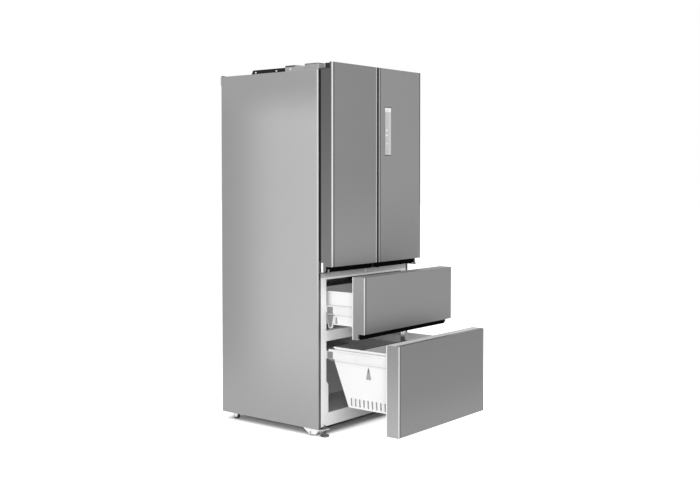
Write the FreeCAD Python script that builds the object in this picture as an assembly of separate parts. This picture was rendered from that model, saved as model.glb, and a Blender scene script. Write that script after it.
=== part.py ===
import FreeCAD, Part
import os

# A free-standing fridge-freezer with two upper doors and two full-width freezer drawers, in millimetres.
# X runs to the right, Y to the back and Z up. The pieces are drawn with the front frame at Y = 0 and the
# drawers shut, and are set down with the origin on the floor at the middle of the footprint as shown.

Vector = FreeCAD.Vector

# Overall sizes
WIDTH = 700.0
BODY_DEPTH = 625.5
BODY_BOTTOM = 35.0
SHEET = 1.0
LINER_WALL = 1.5
FOAM_WALL = 56.0
BACK_WALL = 60.0
FRONT_FLANGE = 17.0
OVERRUN = 2.0
SEAT_GAP = 0.3
SAME_PLACE = 0.01
HALF = WIDTH / 2
INNER_HALF = HALF - FOAM_WALL
INNER_BACK = BODY_DEPTH - BACK_WALL
LINER_HALF = INNER_HALF + LINER_WALL
LINER_BACK = INNER_BACK + LINER_WALL
STILE_HALF = HALF - FRONT_FLANGE

# Heights of the fronts, stacked from the bottom
LOWER_BOTTOM = 67.4
LOWER_HEIGHT = 398.8
FRONT_GAP = 5.8
LEDGE_DROP = 26.8
UPPER_HEIGHT = 253.8
HINGE_SPACE = 9.4
DOOR_HEIGHT = 927.2
DOOR_RISE = 29.0
LOWER_TOP = LOWER_BOTTOM + LOWER_HEIGHT
UPPER_LEDGE = LOWER_TOP + FRONT_GAP
UPPER_LIP = UPPER_LEDGE + LEDGE_DROP
UPPER_TOP = UPPER_LIP + UPPER_HEIGHT
DOOR_LEDGE = UPPER_TOP + HINGE_SPACE
DOOR_LIP = DOOR_LEDGE + LEDGE_DROP
DOOR_TOP = DOOR_LIP + DOOR_HEIGHT
BODY_TOP = DOOR_TOP - DOOR_RISE

# Heights of the compartments behind the fronts
SILL_LAP = 36.6
RAIL_LAP = 28.2
RAIL_HEIGHT = 48.0
RAIL_DEPTH = 48.0
CEILING_LAP = 28.6
CROSSBAR_HEIGHT = 76.0
TRAY_EDGE = 7.0
STEP_RISE = 133.0
STEP_WIDTH = 14.0
FREEZER_FLOOR = LOWER_BOTTOM + SILL_LAP
RAIL_BOTTOM = LOWER_TOP - RAIL_LAP
RAIL_TOP = RAIL_BOTTOM + RAIL_HEIGHT
FREEZER_CEILING = UPPER_TOP - CEILING_LAP
FRIDGE_FLOOR = FREEZER_CEILING + CROSSBAR_HEIGHT
FRIDGE_CEILING = BODY_TOP - FOAM_WALL
SILL_BOTTOM = BODY_BOTTOM + TRAY_EDGE
STEP_HEIGHT = FREEZER_FLOOR + STEP_RISE

# Bins
SLIDE_SPACE = 13.0
BIN_WALL = 2.5
BIN_HALF = INNER_HALF - SLIDE_SPACE
BIN_FRONT = 2.0
PLATEAU_BACK = 1.7
PLATEAU_MARGIN = 12.0
BIN_HEADROOM = 23.0
BIN_FLOOR_GAP = 38.0
UPPER_HEADROOM = 53.0
UPPER_FLOOR_GAP = 31.0
UPPER_BIN_SPACE = 195.5
LOWER_BIN_SPACE = 291.0
LOWER_BIN_SLANT = 70.0
LOWER_BIN_TAPER = 15.0
BACK_WALL_DROP = 40.0
BACK_WALL_CORNER = 10.0
BAND_DROP = 11.0
LOWER_BAND_HEIGHT = 55.0
UPPER_BAND_RISE = 44.0
UPPER_BAND_HEIGHT = 46.0
SHOULDER_GAP = 4.0
BIN_ROUND = 14.0
RIM_HEIGHT = 6.0
RIM_WIDTH = 4.0
SLOT_COUNT = 10
SLOT_PITCH = 24.0
SLOT_WIDTH = 9.0
SLOT_RISE = 8.0
SLOT_HEIGHT = 38.0
SLOT_FIRST = 24.0
SLOT_ROUND = 3.0
RECESS_DEPTH = 1.3
RECESS_WIDTH = 27.0
RECESS_Y = 139.5
RECESS_HEIGHT = 59.0
UPPER_RECESS_Y = 138.0
UPPER_RECESS_RISE = 5.0
UPPER_RECESS_HEIGHT = 34.0
UPPER_BIN_TOP = FREEZER_CEILING - UPPER_HEADROOM
UPPER_BIN_BOTTOM = RAIL_TOP + UPPER_FLOOR_GAP
UPPER_BIN_BACK = BODY_DEPTH - UPPER_BIN_SPACE
LOWER_BIN_TOP = RAIL_BOTTOM - BIN_HEADROOM
LOWER_BIN_BOTTOM = FREEZER_FLOOR + BIN_FLOOR_GAP
LOWER_BIN_BACK = BODY_DEPTH - LOWER_BIN_SPACE
LOWER_BIN_FOOT = LOWER_BIN_BACK - LOWER_BIN_SLANT
LOWER_BIN_FOOT_HALF = BIN_HALF - LOWER_BIN_TAPER
UPPER_BAND = (UPPER_BIN_BOTTOM + UPPER_BAND_RISE, UPPER_BIN_BOTTOM + UPPER_BAND_RISE + UPPER_BAND_HEIGHT)
LOWER_BAND = (LOWER_BIN_TOP - BAND_DROP - LOWER_BAND_HEIGHT, LOWER_BIN_TOP - BAND_DROP)
LOWER_BIN_SHOULDER = LOWER_BAND[0] - SHOULDER_GAP
UPPER_RAIL_Z = (UPPER_BAND[0] + UPPER_BAND[1]) / 2
LOWER_RAIL_Z = (LOWER_BAND[0] + LOWER_BAND[1]) / 2

# The machine room at the rear bottom and the slanted step it makes in the freezer, beside the bin's back
STEP_CLEARANCE = 12.0
STEP_LIFT = 214.0
STEP_WALL = 48.0
ROOM_WALL = 55.0
STEP_TOP = FREEZER_FLOOR + STEP_LIFT
STEP_SLOPE = LOWER_BIN_SLANT / (LOWER_BIN_SHOULDER - LOWER_BIN_BOTTOM)
STEP_FRONT = LOWER_BIN_FOOT + STEP_CLEARANCE - STEP_SLOPE * BIN_FLOOR_GAP
STEP_BACK = STEP_FRONT + STEP_SLOPE * STEP_LIFT
ROOM_FRONT = STEP_FRONT + STEP_WALL
ROOM_BACK = STEP_BACK + ROOM_WALL
ROOM_TOP = STEP_TOP - FOAM_WALL

# Doors and drawer fronts
DOOR_THICKNESS = 65.8
DOOR_GAP = 12.1
CENTRE_GAP = 4.0
UPPER_PULL = 186.2
LOWER_PULL = 374.5
LIP_DEPTH = 33.0
SKIN = 0.8
SKIN_RETURN = 10.0
SKIN_BEND = 3.0
SKIN_FLANGE = 20.0
FRONT_BACK = -DOOR_GAP
FRONT_FACE = FRONT_BACK - DOOR_THICKNESS
LEDGE_FACE = FRONT_FACE + LIP_DEPTH
PANEL_WALL = 2.0
CORE_BACK = FRONT_BACK - PANEL_WALL
CORNER_SLOPE = 8.0
DOOR_X = (-HALF, -CENTRE_GAP / 2)
DRAWER_X = (-HALF, HALF)

# Finger pockets
GRIP_WALL = 2.0
GRIP_RISE = 18.0
GRIP_INSET = 12.0
PIN_SIDE_INSET = 24.0
POCKET_TOP = DOOR_LIP + GRIP_RISE
DOOR_POCKET_X = (-HALF + PIN_SIDE_INSET, DOOR_X[1] - GRIP_INSET)
DRAWER_POCKET_X = (-HALF + GRIP_INSET, HALF - GRIP_INSET)

# Gaskets
GASKET_WIDTH = 12.0
GASKET_OUTER = 32.0
GASKET_LAP = 2.0
GASKET_MARGIN = 10.0

# Door hinges
PIN_INSET = 12.0
PIN_DEPTH = 50.0
PIN_RADIUS = 5.0
PIN_LENGTH = 18.0
PIN_CLEARANCE = 0.08
HINGE_PLATE = 3.0
ARM_HALF = 9.0
HINGE_WIDTH = 60.0
HINGE_REACH = 66.0
NOTCH_WIDTH = 32.0
NOTCH_FRONT = 18.0
NOTCH_GAP = 1.0
CAP_HEIGHT = 50.0
WASHER_HEIGHT = 2.5
WASHER_RADIUS = 9.0
FRAME_PLATE_HEIGHT = 51.5
FRAME_PLATE_WIDTH = 20.0
COVER_WALL = 2.0
COVER_WIDTH = 72.0
COVER_DEPTH = 90.0
COVER_HEIGHT = 30.5
CAP_BOTTOM = DOOR_TOP - CAP_HEIGHT
PIN_X = -HALF + PIN_INSET
PIN_Y = -PIN_DEPTH
NOTCH_BOTTOM = BODY_TOP - NOTCH_GAP
MIDDLE_ARM_TOP = DOOR_LEDGE - WASHER_HEIGHT

# Door insides
DYKE_WIDTH = 16.0
DYKE_DEPTH = 46.0
DYKE_SIDE_GAP = 8.0
DYKE_END_GAP = 14.0
DYKE_CENTRE = 50.0
BALCONY_DEPTH = 92.0
BALCONY_HEIGHT = 88.0
BALCONY_WALL = 2.5
BALCONY_FLOOR_SHARES = (0.03, 0.38, 0.70)
BALCONY_ROUND = 14.0
DYKE_Z = (FRIDGE_FLOOR + DYKE_END_GAP, FRIDGE_CEILING - DYKE_END_GAP)
DYKE_X = (-INNER_HALF + DYKE_SIDE_GAP, -DYKE_CENTRE)

# Flipping centre bar, stored folded back
BAR_PIVOT_SIDE = 30.0
BAR_PIVOT_Y = 10.0
BAR_THICKNESS = 18.0
BAR_TAIL = 8.0
BAR_REACH = 56.0
BAR_PIN = 3.0
BAR_LUG = 9.0
BAR_LUG_HALF = 7.0
BAR_PIVOT_X = -BAR_PIVOT_SIDE

# Touch display on the right door
DISPLAY_LEFT = 53.0
DISPLAY_WIDTH = 46.0
DISPLAY_DROP = 188.0
DISPLAY_HEIGHT = 225.0
DISPLAY_PROUD = 1.2

# Fridge shelves and crispers
SHELF_THICKNESS = 4.0
SHELF_FRONT = 118.0
SHELF_HEIGHT_SHARES = (0.2226, 0.4753, 0.728)
SHELF_GAP = 2.0
SHELF_TRIM = 8.0
LEDGE_WIDTH = 8.0
LEDGE_HEIGHT = 6.0
CRISPER_WALL = 2.5
CRISPER_SHARE = 0.19
CRISPER_GAP = 4.0
CRISPER_SETBACK = 4.0
CRISPER_FOOT = 3.0
FRIDGE_HEIGHT = FRIDGE_CEILING - FRIDGE_FLOOR

# Slides
RAIL_SHEET = 1.0
RAIL_CLEARANCE = 0.6
TONGUE_HALF = 15.0
BAND = 5.0
RAIL_START = 8.0
UPPER_RAIL_LENGTH = 400.0
LOWER_RAIL_LENGTH = 330.0
INNER_RAIL_GAP = 0.4

# Feet, rollers and their brackets
FOOT_INSET = 35.0
FOOT_FORWARD = 8.0
FOOT_RADIUS = 21.0
FOOT_DISC = 9.0
FOOT_CHAMFER = 2.0
STUD_RADIUS = 5.0
STUD_RISE = 17.0
BRACKET_SHEET = 2.5
BRACKET_REACH = 22.0
BRACKET_WIDTH = 30.0
BRACKET_LENGTH = 94.0
BRACKET_LOW = 8.0
BRACKET_TAPER = 55.0
FRONT_AXLE_Y = 47.0
FRONT_AXLE_DROP = 16.0
FRONT_ROLLER = 13.0
REAR_AXLE_INSET = 65.5
REAR_ROLLER = 17.0
ROLLER_INSET = 35.0
ROLLER_WIDTH = 14.0
ROLLER_GAP = 0.5
AXLE_RADIUS = 4.0
AXLE_CLEARANCE = 0.06
FOOT_X = HALF - FOOT_INSET
FOOT_Y = -FOOT_FORWARD
ROLLER_X = HALF - ROLLER_INSET
FRONT_AXLE_Z = BODY_BOTTOM - FRONT_AXLE_DROP
REAR_AXLE_Y = BODY_DEPTH - REAR_AXLE_INSET
STUD_TOP = BODY_BOTTOM + STUD_RISE

# Top of the cabinet
CONTROL_HALF = 230.0
CONTROL_DEPTH = 312.0
CONTROL_INSET = 68.0
CONTROL_HEIGHT = 39.0
CONTROL_SLOPE = 14.0
DUCT_INSET = 60.0
DUCT_WIDTH = 110.0
DUCT_HEIGHT = 36.0
DUCT_END = 15.0
DUCT_FLAT_SHARE = 0.3
DUCT_GAP = 5.0
TOP_LIP = 5.0
TOP_LIP_HEIGHT = 45.0
CONTROL_BACK = BODY_DEPTH - CONTROL_INSET
CONTROL_FRONT = CONTROL_BACK - CONTROL_DEPTH
DUCT_LENGTH = CONTROL_FRONT - COVER_DEPTH - DUCT_GAP
DUCT_X = (-HALF + DUCT_INSET, -HALF + DUCT_INSET + DUCT_WIDTH)

# Cooling machinery
DUCT_PANEL_GAP = 81.5
DUCT_WALL = 3.0
FAN_DROP = 84.0
FAN_RADIUS = 52.0
FAN_HUB = 16.0
FAN_DEPTH = 22.0
FAN_TIP_GAP = 5.0
FAN_BLADE = 2.0
FAN_BLADES = 7
BLADE_TILT = 35.0
FULL_TURN = 360.0
QUARTER_TURN = 90.0
MOTOR_RADIUS = 20.0
MOTOR_DEPTH = 20.0
MOTOR_GAP = 0.5
SPINDLE_RADIUS = 3.0
SPINDLE_CLEARANCE = 0.06
VENT_ROWS = 4
VENT_WIDTH = 90.0
VENT_HEIGHT = 6.0
VENT_PITCH = 62.0
FRIDGE_DUCT_HALF = 110.0
FRIDGE_DUCT_DEPTH = 24.0
FRIDGE_DUCT_RISE = 210.0
FRIDGE_DUCT_DROP = 31.0
COIL_INSET = 74.0
COIL_HEIGHT = 242.0
COIL_FINS = 16
FIN_SHEET = 0.8
TUBE_RADIUS = 4.0
TUBE_ROWS = 5
COIL_DEPTH = 44.0
COMPRESSOR_SIDE = 145.5
COMPRESSOR_INSET = 105.5
COMPRESSOR_RADIUS = 75.0
COMPRESSOR_LOW = 14.0
COMPRESSOR_HEIGHT = 165.0
COMPRESSOR_ROUND = 28.0
MOUNT_PLATE = 3.0
MOUNT_HALF_X = 100.0
MOUNT_HALF_Y = 55.0
GROMMET_RADIUS = 11.0
TERMINAL_SHARES = (0.33, 0.67)
CONDENSER_GAP = 25.5
CONDENSER_WIDTH = 120.0
CONDENSER_INSET = 25.5
CONDENSER_DEPTH = 150.0
CONDENSER_HEIGHT = 150.0
CONDENSER_FINS = 12
CONDENSER_FOOT = 4.0
ROOM_FAN_SPACE = 80.0
ROOM_FAN_RISE = 99.0
FAN_FRAME = 4.0
FAN_FRAME_HALF = 66.0
COVER_SLOTS = 14
COVER_SLOT_WIDTH = 7.0
COVER_SLOT_HEIGHT = 90.0
COVER_SLOT_PITCH = 28.0
GLAND_RADIUS = 12.0
GLAND_BORE = 4.0
GLAND_LENGTH = 5.0
GLAND_SIDE = 45.5
GLAND_RISE = 38.0
DUCT_PANEL_Y = INNER_BACK - DUCT_PANEL_GAP
FAN_Z = FREEZER_CEILING - FAN_DROP
COIL_HALF = INNER_HALF - COIL_INSET
COIL_TOP = STEP_TOP + COIL_HEIGHT
FRIDGE_DUCT_BOTTOM = FRIDGE_FLOOR + FRIDGE_DUCT_RISE
FRIDGE_DUCT_TOP = FRIDGE_CEILING - FRIDGE_DUCT_DROP
COMPRESSOR_X = LINER_HALF - COMPRESSOR_SIDE
COMPRESSOR_Y = BODY_DEPTH - COMPRESSOR_INSET
CONDENSER_LEFT = LINER_HALF - CONDENSER_GAP
GLAND_X = LINER_HALF - GLAND_SIDE
ROOM_FLOOR = BODY_BOTTOM + SHEET
ROOM_FAN_X = CONDENSER_WIDTH + ROOM_FAN_SPACE - CONDENSER_LEFT
ROOM_FAN_Y = COMPRESSOR_Y
ROOM_FAN_Z = ROOM_FLOOR + ROOM_FAN_RISE

# The footprint as shown runs from the pulled-out lower front to the rear lip of the top panel.
REAR_MOST = BODY_DEPTH + TOP_LIP
FRONT_MOST = FRONT_FACE - LOWER_PULL
MIDDLE_Y = (REAR_MOST + FRONT_MOST) / 2


def block(x, y, z):
    """A box from its low and high value along each axis."""
    return Part.makeBox(x[1] - x[0], y[1] - y[0], z[1] - z[0], Vector(x[0], y[0], z[0]))


def prism(axis, points, span):
    """A polygon given in the two other axes, in X, Y, Z order, stretched over a span of this axis."""
    low, high = span
    if axis == "x":
        corners = [Vector(low, a, b) for a, b in points]
        reach = Vector(high - low, 0, 0)
    elif axis == "y":
        corners = [Vector(a, low, b) for a, b in points]
        reach = Vector(0, high - low, 0)
    else:
        corners = [Vector(a, b, low) for a, b in points]
        reach = Vector(0, 0, high - low)
    return Part.Face(Part.makePolygon(corners + corners[:1])).extrude(reach)


def rod(axis, centre, radius, span):
    """A cylinder over a span of its axis; centre holds the two other coordinates in X, Y, Z order."""
    low, high = span
    a, b = centre
    if axis == "x":
        return Part.makeCylinder(radius, high - low, Vector(low, a, b), Vector(1, 0, 0))
    if axis == "y":
        return Part.makeCylinder(radius, high - low, Vector(a, low, b), Vector(0, 1, 0))
    return Part.makeCylinder(radius, high - low, Vector(a, b, low), Vector(0, 0, 1))


def mirrored(shape):
    """The same piece on the other side of the middle plane."""
    return shape.mirror(Vector(0, 0, 0), Vector(1, 0, 0))


def both(shape):
    """A piece and its mirror image."""
    return [shape, mirrored(shape)]


def shifted(shape, y):
    """A copy moved along Y."""
    copy = shape.copy()
    copy.translate(Vector(0, y, 0))
    return copy


def fused(first, *others):
    """Several overlapping or touching shapes as one."""
    return first.fuse(list(others)).removeSplitter()


def rounded(shape, radius, direction, chosen):
    """Fillets the straight edges along one axis whose middle point passes the test."""
    edges = []
    for edge in shape.Edges:
        ends = edge.Vertexes
        if len(ends) < 2:
            continue
        run = ends[1].Point - ends[0].Point
        across = [abs(v) for k, v in enumerate(run) if k != direction]
        if max(across) < SAME_PLACE and chosen((ends[0].Point + ends[1].Point) / 2):
            edges.append(edge)
    return shape.makeFillet(radius, edges) if edges else shape


def save(node, *solids):
    """Writes one node, moved so that the origin is at the middle of the footprint."""
    shape = solids[0] if len(solids) == 1 else Part.makeCompound(list(solids))
    shifted(shape, -MIDDLE_Y).exportStep("parts/" + node + ".step")


# Outer cabinet

def side_panel():
    """Left side sheet with its front and rear flanges."""
    points = [
        (-HALF, 0),
        (-STILE_HALF, 0),
        (-STILE_HALF, SHEET),
        (-HALF + SHEET, SHEET),
        (-HALF + SHEET, BODY_DEPTH - SHEET),
        (-STILE_HALF, BODY_DEPTH - SHEET),
        (-STILE_HALF, BODY_DEPTH),
        (-HALF, BODY_DEPTH),
    ]
    return prism("z", points, (BODY_BOTTOM, BODY_TOP - SHEET))


def top_panel():
    """Top sheet with a front flange and a lip over the back."""
    top = (BODY_TOP - SHEET, BODY_TOP)
    plate = block((-HALF, HALF), (0, BODY_DEPTH), top)
    front = block((-STILE_HALF, STILE_HALF), (0, SHEET), (BODY_TOP - FRONT_FLANGE, BODY_TOP - SHEET))
    slope = [
        (BODY_DEPTH, BODY_TOP),
        (REAR_MOST, BODY_TOP),
        (REAR_MOST, BODY_TOP - TOP_LIP_HEIGHT + TOP_LIP),
        (BODY_DEPTH, BODY_TOP - TOP_LIP_HEIGHT),
    ]
    return fused(plate, front, prism("x", slope, (-HALF, HALF)))


def back_panel():
    """Rear sheet inside the side flanges, above the machine room."""
    x = HALF - SHEET
    return block((-x, x), (BODY_DEPTH - SHEET - SHEET, BODY_DEPTH - SHEET), (ROOM_TOP, BODY_TOP - SHEET))


def base_tray():
    """Bottom sheet with its front and rear edges folded up."""
    x = HALF - SHEET
    back = BODY_DEPTH - SHEET - SHEET
    plate = block((-x, x), (SHEET, back), (BODY_BOTTOM, ROOM_FLOOR))
    rear = block((-x, x), (back - SHEET, back), (BODY_BOTTOM, SILL_BOTTOM))
    front = block((-x, x), (SHEET, SHEET + SHEET), (BODY_BOTTOM, SILL_BOTTOM))
    return fused(plate, rear, front)


def insulation():
    """Foam blocks between the liners and the outer sheets."""
    low = ROOM_FLOOR
    front = LINER_WALL
    back = BODY_DEPTH - SHEET - SHEET
    high = BODY_TOP - SHEET
    side = block((-HALF + SHEET, -LINER_HALF), (front, back - SHEET), (SILL_BOTTOM, high - FRONT_FLANGE))
    inside = (-LINER_HALF, LINER_HALF)
    ceiling = block(inside, (front, LINER_BACK), (FRIDGE_CEILING + LINER_WALL, high))
    between = block(inside, (front, LINER_BACK), (FREEZER_CEILING + LINER_WALL, FRIDGE_FLOOR - LINER_WALL))
    rear = block(inside, (LINER_BACK, back), (STEP_TOP - LINER_WALL, high))
    shelf = block(inside, (ROOM_BACK, back), (ROOM_TOP, STEP_TOP - LINER_WALL))
    floor_top = FREEZER_FLOOR - LINER_WALL
    floor = prism("x", [
        (SHEET + SHEET, low),
        (ROOM_FRONT, low),
        (STEP_FRONT, floor_top),
        (SHEET + SHEET, floor_top),
    ], inside)
    slant = prism("x", [
        (STEP_FRONT + LINER_WALL, floor_top),
        (STEP_BACK + LINER_WALL, STEP_TOP - LINER_WALL),
        (ROOM_BACK, STEP_TOP - LINER_WALL),
        (ROOM_BACK, ROOM_TOP),
        (ROOM_FRONT, low),
    ], inside)
    strip_half = LINER_HALF - STEP_WIDTH
    strip = block((-LINER_HALF, -strip_half), (front, BODY_DEPTH), (floor_top, STEP_HEIGHT))
    strip = strip.common(freezer_profile(LINER_WALL, (-HALF, HALF)))
    return [*both(side), ceiling, between, rear, shelf, floor, slant, *both(strip)]


def freezer_profile(grow, span):
    """Side outline of the freezer space, made larger all round by grow, stretched over a span of X."""
    return prism("x", [
        (-OVERRUN, FREEZER_FLOOR - grow),
        (STEP_FRONT + grow, FREEZER_FLOOR - grow),
        (STEP_BACK + grow, STEP_TOP - grow),
        (INNER_BACK + grow, STEP_TOP - grow),
        (INNER_BACK + grow, FREEZER_CEILING + grow),
        (-OVERRUN, FREEZER_CEILING + grow),
    ], span)


def freezer_outline(grow):
    """Front outline of the freezer space, narrower below the step, made larger all round by grow."""
    wide = INNER_HALF + grow
    narrow = wide - STEP_WIDTH
    right = [
        (narrow, FREEZER_FLOOR - grow),
        (narrow, STEP_HEIGHT),
        (wide, STEP_HEIGHT + STEP_WIDTH),
        (wide, FREEZER_CEILING + grow),
    ]
    return right + [(-x, z) for x, z in reversed(right)]


def freezer_space(grow):
    """The freezer space as a solid, made larger all round by grow."""
    depth = (-OVERRUN, BODY_DEPTH)
    return freezer_profile(grow, (-HALF, HALF)).common(prism("y", freezer_outline(grow), depth))


def freezer_liner():
    """White inner shell of the freezer with its front stiles."""
    shell = freezer_space(LINER_WALL).common(block((-HALF, HALF), (0, BODY_DEPTH), (0, BODY_TOP)))
    stile_z = (FREEZER_FLOOR - LINER_WALL, FREEZER_CEILING + LINER_WALL)
    stiles = block((-STILE_HALF, STILE_HALF), (0, LINER_WALL), stile_z)
    return fused(shell, stiles).cut(freezer_space(0))


def shelf_heights():
    """Heights of the fridge's glass shelves."""
    return [FRIDGE_FLOOR + share * FRIDGE_HEIGHT for share in SHELF_HEIGHT_SHARES]


def shelf_ledges():
    """Ledges on the fridge's side walls, one pair for each shelf."""
    ledges = []
    for height in shelf_heights():
        z = (height - LEDGE_HEIGHT, height)
        ledge = block((-LINER_HALF, -INNER_HALF + LEDGE_WIDTH), (SHELF_FRONT, INNER_BACK), z)
        ledges += both(ledge)
    return ledges


def fridge_liner():
    """White inner shell of the fridge with its front flange and shelf ledges."""
    shell = block(
        (-LINER_HALF, LINER_HALF), (0, LINER_BACK), (FRIDGE_FLOOR - LINER_WALL, FRIDGE_CEILING + LINER_WALL)
    )
    flange_z = (FRIDGE_FLOOR, BODY_TOP - FRONT_FLANGE)
    flange = block((-STILE_HALF, STILE_HALF), (0, LINER_WALL), flange_z)
    space = block((-INNER_HALF, INNER_HALF), (-OVERRUN, INNER_BACK), (FRIDGE_FLOOR, FRIDGE_CEILING))
    return fused(fused(shell, flange).cut(space), *shelf_ledges())


def front_crossbars():
    """Sheet covers across the front: above the drawers, between them, and the sill."""
    upper_z = (FREEZER_CEILING + LINER_WALL, FRIDGE_FLOOR - LINER_WALL)
    upper = block((-STILE_HALF, STILE_HALF), (0, LINER_WALL), upper_z)
    sill = block((-STILE_HALF, STILE_HALF), (0, LINER_WALL), (SILL_BOTTOM, FREEZER_FLOOR - LINER_WALL))
    middle = block((-INNER_HALF, INNER_HALF), (0, RAIL_DEPTH), (RAIL_BOTTOM, RAIL_TOP))
    hollow_z = (RAIL_BOTTOM + LINER_WALL, RAIL_TOP - LINER_WALL)
    hollow = block((-HALF, HALF), (LINER_WALL, RAIL_DEPTH + OVERRUN), hollow_z)
    return [upper, middle.cut(hollow), sill]


# Doors and drawer fronts

def front_profile(top, lip, ledge, inset):
    """Side outline of a door or drawer front: a front lip, a rounded step and a lower rear ledge."""
    face = FRONT_FACE + inset
    if ledge == lip:
        return [(face, lip), (FRONT_BACK, lip), (FRONT_BACK, top), (face, top)]
    slope = CORNER_SLOPE
    return [
        (face, lip),
        (LEDGE_FACE, lip),
        (LEDGE_FACE, ledge + slope),
        (LEDGE_FACE + slope, ledge),
        (FRONT_BACK, ledge),
        (FRONT_BACK, top),
        (face, top),
    ]


def front_skin(x, top, lip, ledge, flange):
    """Stainless sheet: front face, both sides with returns, and a top flange where one is asked for."""
    left, right = x
    outer = block(x, (FRONT_FACE, FRONT_BACK), (ledge, top))
    outer = rounded(outer, SKIN_BEND, 2, lambda p: p.y < FRONT_FACE + SAME_PLACE)
    inner = block((left + SKIN, right - SKIN), (FRONT_FACE + SKIN, FRONT_BACK - SKIN), (ledge, top))
    inner = rounded(inner, SKIN_BEND - SKIN, 2, lambda p: p.y < FRONT_FACE + SKIN + SAME_PLACE)
    opening = block(
        (left + SKIN_RETURN, right - SKIN_RETURN), (LEDGE_FACE, FRONT_BACK + OVERRUN), (ledge, top)
    )
    wrap = outer.cut(inner).cut(opening)
    if flange:
        flange_y = (FRONT_FACE + SKIN, FRONT_FACE + flange)
        wrap = fused(wrap, block((left + SKIN, right - SKIN), flange_y, (top - SKIN, top)))
    return wrap.common(prism("x", front_profile(top, lip, ledge, 0), x))


def inside_skin(x, z):
    """The room behind a front skin down to the inner panel, clear of the skin's rounded bends."""
    room = block((x[0] + SKIN, x[1] - SKIN), (FRONT_FACE + SKIN, CORE_BACK), z)
    return rounded(room, SKIN_BEND, 2, lambda p: p.y < FRONT_FACE + SKIN + SAME_PLACE)


def pocket_room(pocket_x, lip, ledge):
    """The finger pocket behind the lip, open below, with the grip moulding's walls left in."""
    pocket_z = (ledge - OVERRUN, lip + GRIP_RISE + OVERRUN)
    return block(pocket_x, (FRONT_FACE, LEDGE_FACE + GRIP_WALL), pocket_z)


def ledge_block(x, pocket_x, lip, ledge):
    """Bottom block of a front: the ledge behind the finger pocket and the two ends beside it."""
    outline = prism("x", front_profile(lip + GRIP_RISE, lip, ledge, SKIN), x)
    return outline.common(inside_skin(x, (ledge, lip + GRIP_RISE))).cut(pocket_room(pocket_x, lip, ledge))


def grip(pocket_x, lip, ledge):
    """Black moulding that lines the finger pocket behind the lower front lip."""
    top = lip + GRIP_RISE
    front = FRONT_FACE + SKIN
    profile = [
        (front, lip),
        (front, top),
        (LEDGE_FACE + GRIP_WALL, top),
        (LEDGE_FACE + GRIP_WALL, ledge),
        (LEDGE_FACE, ledge),
        (LEDGE_FACE, top - GRIP_WALL),
        (front + GRIP_WALL, top - GRIP_WALL),
        (front + GRIP_WALL, lip),
    ]
    return prism("x", profile, pocket_x)


def gasket(x, z, inner_x):
    """Rubber ring in the gap behind a front; inner_x and its z give the ring's hole."""
    y = (FRONT_BACK, -SEAT_GAP)
    w = GASKET_WIDTH
    ring = block(x, y, z)
    hole = block(inner_x, (y[0] - OVERRUN, y[1] + OVERRUN), (z[0] + w, z[1] - w))
    return ring.cut(hole)


def hinge_notch():
    """Space in the left door's top corner that the hinge arm swings through."""
    x = (-HALF - OVERRUN, -HALF + NOTCH_WIDTH)
    y = (PIN_Y - NOTCH_FRONT, FRONT_BACK + OVERRUN)
    return block(x, y, (NOTCH_BOTTOM, DOOR_TOP + OVERRUN))


def door_skin():
    """Stainless skin of the left door, open where the top hinge arm swings."""
    return front_skin(DOOR_X, DOOR_TOP, DOOR_LIP, DOOR_LEDGE, 0).cut(hinge_notch())


def door_caps():
    """Top and bottom caps of the left door, with the holes for the hinge pins."""
    hole = PIN_RADIUS + PIN_CLEARANCE
    bore = rod("z", (PIN_X, PIN_Y), hole, (DOOR_LEDGE - OVERRUN, DOOR_TOP))
    top = inside_skin(DOOR_X, (CAP_BOTTOM, DOOR_TOP)).cut(hinge_notch()).cut(bore)
    bottom = ledge_block(DOOR_X, DOOR_POCKET_X, DOOR_LIP, DOOR_LEDGE).cut(bore)
    return [top, bottom]


def door_core():
    """Foam block of the left door."""
    return inside_skin(DOOR_X, (POCKET_TOP, CAP_BOTTOM))


def door_liner(with_lugs):
    """Inner panel of the left door: a back plate inside the skin's returns and a raised dyke."""
    x = (DOOR_X[0] + SKIN_RETURN, DOOR_X[1] - SKIN_RETURN)
    plate = block(x, (CORE_BACK, FRONT_BACK), (DOOR_LEDGE, DOOR_TOP)).cut(hinge_notch())
    dyke_y = (FRONT_BACK, FRONT_BACK + DYKE_DEPTH)
    dyke = block(DYKE_X, dyke_y, DYKE_Z)
    inner_x = (DYKE_X[0] + DYKE_WIDTH, DYKE_X[1] - DYKE_WIDTH)
    inner_z = (DYKE_Z[0] + DYKE_WIDTH, DYKE_Z[1] - DYKE_WIDTH)
    dyke = dyke.cut(block(inner_x, (FRONT_BACK, BODY_DEPTH), inner_z))
    panel = fused(plate, dyke)
    if with_lugs:
        panel = fused(panel, *bar_lugs())
    return panel


def bar_span():
    """Height of the folding centre bar, between its two lugs."""
    return (DYKE_Z[0] + SEAT_GAP, DYKE_Z[1] - SEAT_GAP)


def bar_lugs():
    """Two lugs on the left door's inner panel that hold the centre bar's pins."""
    x = (BAR_PIVOT_X - BAR_LUG_HALF, BAR_PIVOT_X + BAR_LUG_HALF)
    y = (FRONT_BACK, BAR_PIVOT_Y + BAR_LUG_HALF)
    low, high = DYKE_Z
    hole = BAR_PIN + SPINDLE_CLEARANCE
    lugs = []
    for z in ((low - BAR_LUG, low), (high, high + BAR_LUG)):
        bore = rod("z", (BAR_PIVOT_X, BAR_PIVOT_Y), hole, (z[0] - OVERRUN, z[1] + OVERRUN))
        lugs.append(block(x, y, z).cut(bore))
    return lugs


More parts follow.
